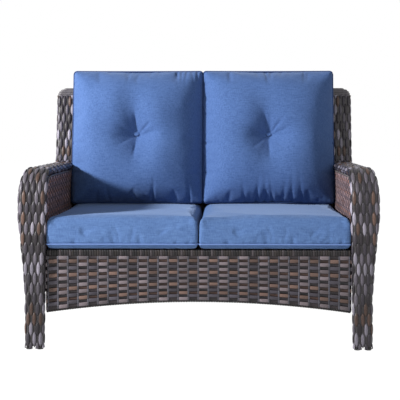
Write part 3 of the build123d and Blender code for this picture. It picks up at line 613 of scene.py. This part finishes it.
flare_shares = (0, 0.31, 0.67, 0.86, 1)
flare_heights = [0.200 + 0.290 * share for share in flare_shares]
tube_top = post_height - 0.026
post_top_y = corner_y + (tube_top - arm_mid) * math.tan(lean)
arm_corners = [(leg_y, 0.0)] + [(leg_y, height) for height in flare_heights]
arm_corners += [(leg_y, arm_mid), (leg_y + 0.150, arm_mid), (corner_y, arm_mid), (post_top_y, tube_top)]
arm_radii = [0] + [0] * 5 + [roll_radius, 0, 0.050, 0]
outer_shares = (0, 0, 0.28, 0.72, 1, 1, 0.7, 0.18, 0.27, 0.27)
inner_shares = (0, 0.3, 0.42, 0.62, 0.76, 0.88, 0.8, 1.05, 1, 1)
foot_outer_x = 0.5735
outer_x = [foot_outer_x + 0.022 * share for share in outer_shares]
inner_x = [0.5365 - 0.013 * share for share in inner_shares]
leg_corners = [(rear_foot_y, 0.0), (corner_y, knee_height), (corner_y, 0.586)]

arm_bands = {}
for side, side_name in sides:
    arm_bands[side_name] = Band(side, arm_corners, arm_radii, outer_x, inner_x)
    braid(f"{side_name}_arm_braid", arm_bands[side_name], 0.002, arm_bands[side_name].length - 0.002, 81)
    leg_band = Band(side, leg_corners, [0, 0.300, 0], [foot_outer_x, outer_x[-1], outer_x[-1]], [0.5235] * 3)
    braid(f"{side_name}_leg_braid", leg_band, 0.003, leg_band.length - 0.004, 91)

# Post tops: each arm band is closed over its post by flat turns of strand.
# The turns get smaller towards the top and draw in from the outer edge, which leaves it rounded.
cap_resin = speckled("cap_resin", (0.12, 0.11, 0.12), 0.4, 120, (0.050, 0.044, 0.048),
                     (0.150, 0.138, 0.150), 0.4, 0.0006)
cap_heights = (-0.002, 0.005, 0.012, 0.018, 0.0235)
cap_marks = (-0.010, 0.0091, 0.0169, 0.0226, 0.0260)
cap_widths = (1, 0.95, 0.86, 0.72, 0.52)
cap_depths = (1, 1, 0.95, 0.8, 0.5)


def closed_cord(name, line, radius, material, body):
    """A round cord along world points, joined end to end."""
    count = 8
    heading = unit(np.roll(line, -1, 0) - np.roll(line, 1, 0))
    helper = np.where(np.abs(heading[:, 2:]) < 0.9, [[0, 0, 1.0]], [[0, 1.0, 0]])
    first = unit(np.cross(heading, helper))
    second = np.cross(heading, first)
    angles = np.arange(count) * 2 * math.pi / count
    rings = line[:, None] + radius * (np.cos(angles)[None, :, None] * first[:, None]
                                      + np.sin(angles)[None, :, None] * second[:, None])
    faces = []
    for ring in range(len(line)):
        after = (ring + 1) % len(line)
        faces += [(ring * count + k, ring * count + (k + 1) % count, after * count + (k + 1) % count,
                   after * count + k) for k in range(count)]
    mesh = bpy.data.meshes.new(name)
    mesh.from_pydata(rings.reshape(-1, 3).tolist(), [], faces)
    finish_piece(name, mesh, material, body)


def plan_line(half, corner, draw_in, spacing=0.006):
    """Rounded rectangle in plan with its sides drawn in between the corners."""
    spots, line = [], []
    for turn, quarter in enumerate(((1, 1), (-1, 1), (-1, -1), (1, -1))):
        for k in range(7):
            angle = turn * math.pi / 2 + k * math.pi / 12
            spots.append(np.array(quarter) * (np.array(half) - corner)
                         + corner * np.array((math.cos(angle), math.sin(angle))))
    for here, after in zip(spots, spots[1:] + spots[:1]):
        steps = max(1, int(math.dist(here, after) / spacing))
        line += [here + (after - here) * k / steps for k in range(steps)]
    return draw(np.array(line), half, draw_in)


def draw(plan, half, draw_in):
    """Draw the sides in towards the middle, by an amount that fades to nothing at the corners."""
    u, v = plan[:, 0] / half[0], plan[:, 1] / half[1]
    pulled = plan.copy()
    pulled[:, 0] -= draw_in * u * (1 - np.clip(v, -1, 1) ** 2)
    pulled[:, 1] -= draw_in * v * (1 - np.clip(u, -1, 1) ** 2)
    return pulled


for side, side_name in sides:
    band = arm_bands[side_name]
    width = float(band.width(band.length))
    for turn, height in enumerate(cap_heights):
        wide = width * np.interp(height, cap_marks, cap_widths)
        deep = 2 * band_half * np.interp(height, cap_marks, cap_depths)
        around = plan_line(((wide - 0.002) / 2, (deep - 0.002) / 2), deep * 0.46, 0, 0.003)
        middle_x = side * (outer_x[-1] + band_half - (width - wide) / 2 - width / 2)
        ahead = (tube_top + height - arm_mid) / math.cos(lean)
        loop = back_root + np.array([middle_x, 0, 0]) + ahead * lean_up
        loop = loop + np.outer(around[:, 0], (1, 0, 0)) + np.outer(around[:, 1], lean_front)
        closed_cord(f"{side_name}_post_turn_{turn + 1}", loop, 0.0042, cap_resin, "frame")

# Wrapped edges: a strand wound side by side round the crest rail, the hems and the front seat rail.
# On the rail it goes over the front and top, and is tucked behind a lower lip.
wrap_width = 0.0086
wrap_thick = 0.0026
rail_wrap_half = 0.5165
wrapped_resin = resin_material("wrapped_resin", 0.42, 0.25)
wrap_tones = ((0.012, 0.010, 0.011), (0.018, 0.014, 0.013), (0.008, 0.007, 0.008))
rail_front, rail_rear = -0.3423, -0.3206
rail_low, rail_high = 0.3113, 0.3367
lip_rear = rail_front + 0.0110
turn_rings = tuple(np.linspace(-0.46, 0.46, 14).round(3))
turn_points, turn_faces = take_shape(model_strand("turn", turn_rings))


def rail_turn(share):
    """Place and outward heading on the way over the front rail, from behind its top to under its front."""
    corners = [(rail_rear, rail_high), (rail_front, rail_high), (rail_front, rail_low), (lip_rear, rail_low)]
    line, _ = rounded_course(corners, [0, 0.005, 0.004, 0], 0.001)
    run = run_along(line)
    at = share * run[-1]
    y, z = read_off(at, run, line)
    head_y, head_z = read_off(at, run, unit(np.gradient(line, axis=0)))
    return y, z, head_z, -head_y


chance = np.random.default_rng(5)
x, y, z = turn_points.T
place_y, place_z, out_y, out_z = rail_turn(x + 0.5)
laid, tones, runs = [], [], []
for index in range(int(2 * rail_wrap_half / wrap_width)):
    middle = -rail_wrap_half + (index + 0.5) * wrap_width
    height = -0.0012 + z * wrap_thick
    laid.append(np.stack([middle + y * wrap_width * 1.02, place_y + out_y * height, place_z + out_z * height],
                         1))
    tone = np.array(wrap_tones[chance.choice(3)]) * chance.uniform(0.8, 1.3)
    if index % 4 == 1:
        tone = np.array(grey_strand[0]) * chance.uniform(0.15, 0.4)
    tones.append(tone)
    runs.append(np.stack([x * 0.06 + index, y * wrap_width], 1))
join_strands("apron_top_edge", turn_faces, laid, tones, runs, wrapped_resin,
             ["apron_top_wrap"])


def wind(name, line, radius, seed, node):
    """Wind closed turns of strand round a rod whose middle line is given as world points."""
    bpy.ops.mesh.primitive_torus_add(major_radius=1, minor_radius=0.5, major_segments=14, minor_segments=6)
    points, faces = take_shape(bpy.context.object)
    chance = np.random.default_rng(seed)
    angle = np.arctan2(points[:, 1], points[:, 0])
    out = np.hypot(points[:, 0], points[:, 1]) - 1
    run = run_along(line)
    laid, tones, runs = [], [], []
    count = int(run[-1] / wrap_width)
    for index in range(count):
        at = (index + 0.5) * run[-1] / count
        centre, ahead, behind = (read_off(at + step, run, line) for step in (0, 0.001, -0.001))
        heading = unit(ahead - behind)
        side_way = unit(np.cross(heading, (0, 0, 1)))
        up = np.cross(side_way, heading)
        away = radius - wrap_thick / 2 + out * wrap_thick
        shift = points[:, 2] * wrap_width * 1.02 + 0.0016 * np.sin(angle)
        laid.append(centre + np.outer(away * np.cos(angle), side_way)
                    + np.outer(away * np.sin(angle), up) + np.outer(shift, heading))
        tones.append(np.array(wrap_tones[chance.choice(3)]) * chance.uniform(0.8, 1.3))
        runs.append(np.stack([angle * radius + index, points[:, 2] * wrap_width], 1))
    join_strands(name, faces, laid, tones, runs, wrapped_resin, [node])


crest_y, crest_z = corner_y + crest_run * math.sin(lean), arm_mid + crest_run * math.cos(lean)
wind("crest_winding", np.array([(-back_reach, crest_y, crest_z), (back_reach, crest_y, crest_z)]), 0.0128,
     101, "back_crest_wrap")
hem_places = np.linspace(-apron_reach, apron_reach, 60)
hem_heights = arch(hem_places, 0, apron_reach, apron_hem_end - 0.0020, apron_hem_rise)
wind("apron_hem_winding", np.stack([hem_places, np.full(60, -0.3342), hem_heights], 1), 0.0078, 111,
     "apron_hem_wrap")
for side, side_name in sides:
    low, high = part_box(f"{side_name}_side_hem")
    places = np.linspace(low.y, high.y, 40)
    middle, half = (low.y + high.y) / 2, (high.y - low.y) / 2
    heights = arch(places, middle, half, 0.118, side_hem_rise)
    wind(f"{side_name}_side_hem_winding", np.stack([np.full(40, side * outer_panel_x), places, heights], 1),
         0.0053, 121, f"{side_name}_side_hem")

# Trim cords: a thin twisted resin cord along the top and front edge of each inner panel.
# It is tacked over the joint between the panel and its band.
trim_resin = speckled("trim_cord_resin", (0.10, 0.085, 0.080), 0.45, 500, (0.060, 0.050, 0.048),
                      (0.160, 0.140, 0.135), 0.6, 0.0008)
finish_solids(both("arm_trim_cord"), trim_resin)

# Seat cushions: box covers filled with foam, with one piped seam low down and soft rolled top edges.
# Their solution-dyed acrylic cloth is a heather of light and dark blue yarns. It is cut a little full, so it
# ripples, and it is drawn under below the piping.
seam_height = 0.019
seat_corner = 0.010
seat_slack = 0.010
seat_crown = 0.008
seat_draw_in = 0.0015
seat_gathers = (-0.94, -0.62, -0.1, 0.25, 0.55, 0.72, 0.88, 0.95)
cushion_gap = 0.0006


def read_points(piece):
    """A mesh's points as an array."""
    flat = np.zeros(len(piece.data.vertices) * 3, np.float32)
    piece.data.vertices.foreach_get("co", flat)
    return flat.reshape(-1, 3).astype(float)


def write_points(piece, points):
    """Put an array of points back into a mesh."""
    piece.data.vertices.foreach_set("co", points.astype(np.float32).ravel())
    piece.data.update()


def start_cushion(name, half, thickness, corner, top_edge, foot_edge, voxel):
    """A box standing on zero, with rounded corners and edges, remeshed into an even cloth mesh."""
    bpy.ops.mesh.primitive_cube_add(size=1, location=(0, 0, thickness / 2))
    cushion = bpy.context.object
    cushion.name = name
    cushion.scale = (2 * half[0], 2 * half[1], thickness)
    bpy.ops.object.transform_apply(location=True, rotation=False, scale=True)
    bpy.ops.object.mode_set(mode="EDIT")
    bpy.ops.mesh.select_all(action="SELECT")
    bpy.ops.mesh.subdivide(number_cuts=44)
    bpy.ops.object.mode_set(mode="OBJECT")
    points = read_points(cushion)
    core_low = np.array([corner - half[0], corner - half[1], foot_edge])
    core_high = np.array([half[0] - corner, half[1] - corner, thickness - top_edge])
    core = np.clip(points, core_low, core_high)
    radii = np.column_stack([np.full(len(points), corner)] * 2
                            + [np.where(points[:, 2] > core[:, 2], top_edge, foot_edge)])
    out = (points - core) / radii
    out = out / np.maximum(np.linalg.norm(out, axis=1), 1e-9)[:, None]
    write_points(cushion, core + out * radii)
    cushion.data.remesh_voxel_size = voxel
    bpy.ops.object.voxel_remesh()
    return cushion


def inflate(cushion, pinned, pressure, cap):
    """Swell the cover under pressure between its pinned seams, with its travel capped."""
    before = read_points(cushion)
    group = cushion.vertex_groups.new(name="seams")
    group.add([int(i) for i in np.flatnonzero(pinned)], 1.0, "REPLACE")
    cover = cushion.modifiers.new("cover", "CLOTH")
    stuff = {"quality": 4, "mass": 0.25, "tension_stiffness": 12, "compression_stiffness": 12,
             "shear_stiffness": 4, "bending_stiffness": 0.6, "shrink_min": -0.012, "use_pressure": True,
             "uniform_pressure_force": pressure, "vertex_group_mass": "seams"}
    for key, value in stuff.items():
        setattr(cover.settings, key, value)
    cover.settings.effector_weights.gravity = 0
    cover.point_cache.frame_start = 1
    cover.point_cache.frame_end = 20
    for step in range(1, 21):
        bpy.context.scene.frame_set(step)
    bpy.context.view_layer.objects.active = cushion
    bpy.ops.object.modifier_apply(modifier="cover")
    bpy.context.scene.frame_set(1)
    cushion.vertex_groups.clear()
    moved = read_points(cushion) - before
    travel = np.linalg.norm(moved, axis=1)[:, None]
    return before + moved * np.minimum(1, cap / np.maximum(travel, 1e-6))


def refine(cushion, points):
    """One subdivision, applied, so that seams and pleats have points to shape."""
    write_points(cushion, points)
    pick_only(cushion)
    smooth = cushion.modifiers.new("fine", "SUBSURF")
    smooth.levels = smooth.render_levels = 1
    bpy.ops.object.modifier_apply(modifier="fine")
    bpy.ops.object.shade_smooth()
    return read_points(cushion)


def ripple(points, seed, wave, height):
    """Slow uneven rise and fall over a cloth surface, from a few seeded waves."""
    chance = np.random.default_rng(seed)
    total = np.zeros(len(points))
    for _ in range(9):
        way = unit(chance.standard_normal(3)) * 2 * math.pi / (wave * chance.uniform(0.7, 1.6))
        total += np.sin(points @ way + chance.uniform(0, 2 * math.pi))
    return total * height / 3


def pleats(along, away, places, width, reach, depth):
    """Small gathers at places along a seam, which fade with the distance from it."""
    total = np.zeros(len(along))
    for index, place in enumerate(places):
        size = depth * (0.75 + 0.5 * ((index * 7) % 4) / 3)
        drift = away * 0.12 * (((index * 5) % 3) - 1)
        total -= size * np.exp(-((along - place - drift) / width) ** 2) * np.exp(-(away / reach) ** 1.5)
    return total


def heather_cloth(name, light, dark, across=(38, 300, 300), up=(420, 110, 110)):
    """Woven acrylic: two yarn blues mixed by threads that run both ways, with a soft sheen."""
    material, shader = start_material(name, light, 0.85, Sheen_Weight=0.25, Sheen_Roughness=0.5,
                                      Sheen_Tint=(0.55, 0.70, 1, 1), Specular_IOR_Level=0.2)
    place = add_node(material, "TexCoord").outputs["Object"]
    threads = [add_noise(material, place, scale, 2.0) for scale in (across, up)]
    slub = add_node(material, "Math", {"operation": "ADD"}, threads)
    mixed = add_node(material, "MapRange", Value=slub.outputs["Value"], From_Min=0.60, From_Max=1.40)
    mix_colours(material, shader, mixed.outputs["Result"], dark, light)
    roughen(material, shader, slub.outputs["Value"], 0.5, 0.0007)
    return material


def cover_cushion(cushion, points, side_name, part, cloth):
    """Give a cushion its last shape and its cloth, and let it stand for the solid cushion."""
    write_points(cushion, points)
    cushion.data.materials.append(cloth)
    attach(cushion, f"{side_name}_{part}")
    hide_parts(f"{side_name}_{part}_cushion")


piping_yarns = {"across": (500, 500, 500), "up": (900, 900, 900)}
# Painted light: the seat cloth is the back cushions' cloth made lighter, for the brighter light on the seats.
seat_cloth_painted_light = heather_cloth("seat_cloth_painted_light", (0.098, 0.182, 0.378), (0.048, 0.100, 0.242))
piping_cloth = heather_cloth("piping_cloth", (0.150, 0.240, 0.500), (0.100, 0.175, 0.400), **piping_yarns)

for side, side_name in sides:
    low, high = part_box(f"{side_name}_seat_cushion")
    half = ((high.x - low.x) / 2 - cushion_gap, (high.y - low.y) / 2 - cushion_gap)
    centre = np.array([(low.x + high.x) / 2, (low.y + high.y) / 2, low.z])
    started_thick = high.z - low.z - seat_slack
    cushion = start_cushion(f"{side_name}_seat_cover", half, started_thick, seat_corner, 0.030, 0.012, 0.0070)
    points = read_points(cushion)
    x, y, z = points.T
    level, u, v = z / started_thick, x / half[0], y / half[1]
    z += seat_crown * np.clip(level, 0, 1) * (1 - np.abs(u) ** 4) * (1 - np.abs(v) ** 5)
    below = np.clip(1 - z / seam_height, 0, 1)[:, None]
    points[:, :2] *= 1 - np.array([0.018, 0.066]) * below
    points[:, :2] = draw(points[:, :2], half, seat_draw_in)
    write_points(cushion, points)
    seam = (np.abs(z - seam_height) < 0.005) & (np.maximum(np.abs(u), np.abs(v)) > 0.93)
    points = refine(cushion, inflate(cushion, seam | (z < 0.003), 2.0, 0.004))
    x, y, z = points.T
    rise = ripple(points, 7 + side, 0.16, 0.0016) * np.clip(z / 0.06, 0, 1)
    z += rise * (z > 0.07)
    front = np.clip((-y / half[1] - 0.8) / 0.15, 0, 1)
    gathers = pleats(x, np.clip(z - seam_height, 0, 1), [half[0] * share for share in seat_gathers],
                     0.009, 0.035, 0.0022)
    y -= (gathers + rise) * front
    ditch = np.exp(-((z - seam_height) / 0.0045) ** 2)[:, None]
    points[:, :2] *= 1 - 0.008 * ditch
    points += centre
    points = np.clip(points, np.array(low) + (cushion_gap, cushion_gap, 0),
                     np.array(high) - (cushion_gap, -0.02, 0))
    cover_cushion(cushion, points, side_name, "seat", seat_cloth_painted_light)
    around = plan_line((half[0] - 0.0008, half[1] - 0.0008), seat_corner, seat_draw_in)
    loop = np.column_stack([around, np.full(len(around), seam_height)]) + centre
    closed_cord(f"{side_name}_seat_piping", loop, 0.0026, piping_cloth, f"{side_name}_seat")

# Back cushions: fibre-filled covers that lean on the back and sit flat on the seat.
# Each has a piped seam round its front panel, gathered here and there, and one deep button tuft.
back_thick = 0.178
back_seam = 0.088
back_start = back_seam + 0.014
back_corner = 0.012
back_draw_in = 0.001
back_offset = 0.0126
back_foot = 0.4545
back_top = 0.972
crown_height = 0.118
button_level = 0.126
back_cloth = heather_cloth("back_cloth", (0.078, 0.148, 0.342), (0.036, 0.080, 0.220))
# The back piping is much darker than the cover: partly a dark piping cloth, and partly painted shade
# for the shadowed boxing beside the seam.
back_piping_dark_and_shade_cloth = heather_cloth("back_piping_dark_and_shade_cloth", (0.030, 0.065, 0.185), (0.018, 0.040, 0.125),
                                  **piping_yarns)
top_gathers = {"left": (0.44, 0.80, 0.84, 0.88, 0.92, 0.96), "right": (0.21, 0.48, 0.52, 0.78)}
foot_gathers = {"left": (0.30, 0.62, 0.90), "right": (0.32, 0.40, 0.47, 0.53, 0.60, 0.67, 0.75)}
creases = ((1.72, 0.0065, 0.055, 0.10), (0.80, 0.0045, 0.045, 0.09), (0.30, 0.003, 0.05, 0.10),
           (-1.60, 0.0045, 0.050, 0.11), (2.75, 0.0030, 0.045, 0.12), (-2.60, 0.0025, 0.05, 0.12),
           (-0.75, 0.0025, 0.05, 0.10))


def lean_back(plan, level, half, middle_x, middle_run, foot):
    """World points for places in a back cushion's plan, at levels before its rear face."""
    sunk = np.clip(level, 0, 1) * math.tan(lean) * np.clip(0.5 - plan[:, 1] / half[1] / 2, 0, 1)
    world = back_root + np.outer(back_offset + level, lean_front)
    world += np.outer(middle_run + plan[:, 1] - sunk, lean_up)
    world[:, 0] = middle_x + plan[:, 0]
    world[:, 2] = np.maximum(world[:, 2], foot)
    return world


for side, side_name in sides:
    low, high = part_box(f"{side_name}_back_cushion")
    base_run = (back_foot - arm_mid - back_offset * math.sin(lean)) / math.cos(lean)
    top_run = (back_top - arm_mid - (back_offset + 0.46 * back_thick) * math.sin(lean)) / math.cos(lean)
    half = ((high.x - low.x) / 2 + 0.0006, (top_run - base_run) / 2 - 0.003)
    middle_x, middle_run = (low.x + high.x) / 2, (top_run + base_run) / 2
    cushion = start_cushion(f"{side_name}_back_cover", half, back_start, back_corner, 0.014, 0.030, 0.0075)
    points = read_points(cushion)
    x, y, z = points.T
    level, u, v = np.clip(z / back_start, 0, 1), x / half[0], y / half[1]
    swell = (1 - np.abs(u) ** 2.1) ** 0.75 * (1 - np.abs(np.clip(v, -1, 1)) ** 2.4) ** 0.7
    z += (back_thick - back_seam - 0.004) * swell * level ** 2
    points[:, :2] = draw(points[:, :2], half, back_draw_in)
    write_points(cushion, points)
    rim = np.maximum(np.abs(u), np.abs(v))
    seam = (rim > 0.955) & (np.abs(z - back_seam) < 0.007)
    hollow = np.hypot(x, y) < 0.012
    rest_side = z < 0.003
    started = read_points(cushion)
    points = inflate(cushion, seam | hollow | rest_side, 3.0, 0.016)
    boxing = started[:, 2] < back_seam
    points[boxing] = started[boxing]
    points = refine(cushion, points)
    x, y, z = points.T
    front = np.clip((z - back_seam * 0.8) / 0.03, 0, 1)
    crown = z > back_seam
    z[crown] = back_seam + (z[crown] - back_seam) * (crown_height / np.max(z - back_seam))
    around, angle = np.hypot(x, y), np.arctan2(y, x)
    reach = 0.082 + 0.012 * np.abs(np.cos(2 * angle)) ** 2 + 0.020 * np.exp(-((angle - 1.75) / 0.40) ** 2)
    funnel = np.exp(-(around / reach) ** 1.25)
    funnel_depth = np.max(z[around < 0.02]) - button_level + 0.001
    z -= front * funnel_depth * funnel
    for bearing, deep, start, spread in creases:
        turn = np.angle(np.exp(1j * (angle - bearing - 0.08 * side)))
        near = np.exp(-(turn / spread) ** 2) * np.exp(-((around - start) / 0.030) ** 2)
        z -= front * deep * near
    z += front * ripple(points, 17 + side, 0.17, 0.0030) * np.clip(around / 0.08, 0, 1)
    top_places, foot_places = ([(2 * share - 1) * half[0] for share in gathers[side_name]]
                               for gathers in (top_gathers, foot_gathers))
    z += front * pleats(x, half[1] - y, top_places, 0.0055, 0.036, 0.0060)
    z += front * pleats(x, half[1] + y, foot_places, 0.0065, 0.050, 0.0080)
    side_places = [half[1] * share for share in (-0.72, -0.55, -0.1, 0.35, 0.8)]
    z += front * pleats(y, half[0] + x, side_places, 0.0060, 0.030, 0.0045)
    z += front * pleats(y, half[0] - x, side_places[1:], 0.0060, 0.030, 0.0040)
    world = lean_back(points, z, half, middle_x, middle_run, back_foot + 0.0001)
    world[:, 0] = np.clip(world[:, 0], low.x - 0.0008, high.x + 0.0008)
    cover_cushion(cushion, world, side_name, "back", back_cloth)
    around = plan_line((half[0] + 0.0004, half[1] + 0.0004), back_corner, back_draw_in)
    level = np.full(len(around), back_seam)
    loop = lean_back(around, level, half, middle_x, middle_run, back_foot + 0.0031)
    closed_cord(f"{side_name}_back_piping", loop, 0.0034, back_piping_dark_and_shade_cloth,
                f"{side_name}_back")

# Buttons, thread and filling: cloth-covered buttons before and behind each back cushion, tied together by
# a waxed thread through its filling. The seat cushions hold a block of foam, the back ones polyester fibre.
finish_solids(both("tuft_button", "rear_button"), back_cloth)
thread = speckled("tuft_thread", (0.10, 0.16, 0.36), 0.8, 900, (0.08, 0.13, 0.30), (0.12, 0.19, 0.42), 0.4,
                  0.0003)
finish_solids(both("tuft_cord"), thread)
filling = speckled("cushion_filling", (0.86, 0.83, 0.76), 0.95, 300, (0.80, 0.77, 0.69),
                   (0.90, 0.88, 0.82), 0.5, 0.0010)
finish_solids(both("seat_foam", "back_fill"), filling)

# Floor, light and camera: a white studio with one soft key from the front left and a weak fill.
# The floor glows where it is looked at, and still takes the object's shadow.
def seen_rays(owner):
    """One where a camera, glossy or transmission ray looks, zero for the light itself."""
    ray = add_node(owner, "LightPath").outputs
    total = ray["Is Camera Ray"]
    for kind in ("Is Glossy Ray", "Is Transmission Ray"):
        total = add_node(owner, "Math", {"operation": "MAXIMUM"}, (total, ray[kind])).outputs["Value"]
    return total


bpy.ops.mesh.primitive_plane_add(size=30, location=(0, 0, 0))
floor = bpy.context.object
floor.name = "studio_floor"
floor_white, floor_shader = start_material("floor_white", (0.9, 0.9, 0.9), 0.9)
glow = add_node(floor_white, "Emission", Strength=1.12)
part_seen = add_node(floor_white, "Math", {"operation": "MULTIPLY"}, (seen_rays(floor_white), 0.90))
blend_white = add_node(floor_white, "MixShader", None,
                       (part_seen.outputs["Value"], floor_shader.outputs["BSDF"], glow.outputs["Emission"]))
floor_white.node_tree.links.new(blend_white.outputs["Shader"],
                                floor_white.node_tree.nodes["Material Output"].inputs["Surface"])
floor.data.materials.append(floor_white)

world = bpy.data.worlds.new("studio")
bpy.context.scene.world = world
world.use_nodes = True
sky = world.node_tree.nodes["Background"]
sky.inputs["Color"].default_value = (1, 1, 1, 1)
level = add_node(world, "MapRange", Value=seen_rays(world), To_Min=0.24, To_Max=1.0)
world.node_tree.links.new(level.outputs["Result"], sky.inputs["Strength"])


def add_lamp(name, place, aim, size, energy):
    """A square soft box at a place, turned to its aim."""
    bpy.ops.object.light_add(type="AREA", location=place)
    lamp = bpy.context.object
    lamp.name = name
    lamp.data.shape = "SQUARE"
    lamp.data.size = size
    lamp.data.energy = energy
    lamp.rotation_euler = (Vector(aim) - Vector(place)).to_track_quat("-Z", "Y").to_euler()


add_lamp("key_light", (-3.99, -2.06, 2.18), (-0.1, 0, 0.5), 0.45, 400)
add_lamp("fill_light", (2.2, -3.4, 1.9), (0, 0, 0.4), 2.2, 26)

bpy.ops.object.camera_add(location=(0.1082, -3.3606, 0.7508))
camera = bpy.context.object
camera.name = "photo_view"
camera.data.sensor_width = 36
camera.data.lens = 80.71
camera.data.shift_x = -0.044
camera.data.shift_y = -0.0998
camera.rotation_euler = (math.radians(90 - 2.1), 0, math.radians(0.82))
bpy.context.scene.camera = camera
bpy.context.scene.view_settings.view_transform = "Standard"

bpy.context.view_layer.update()
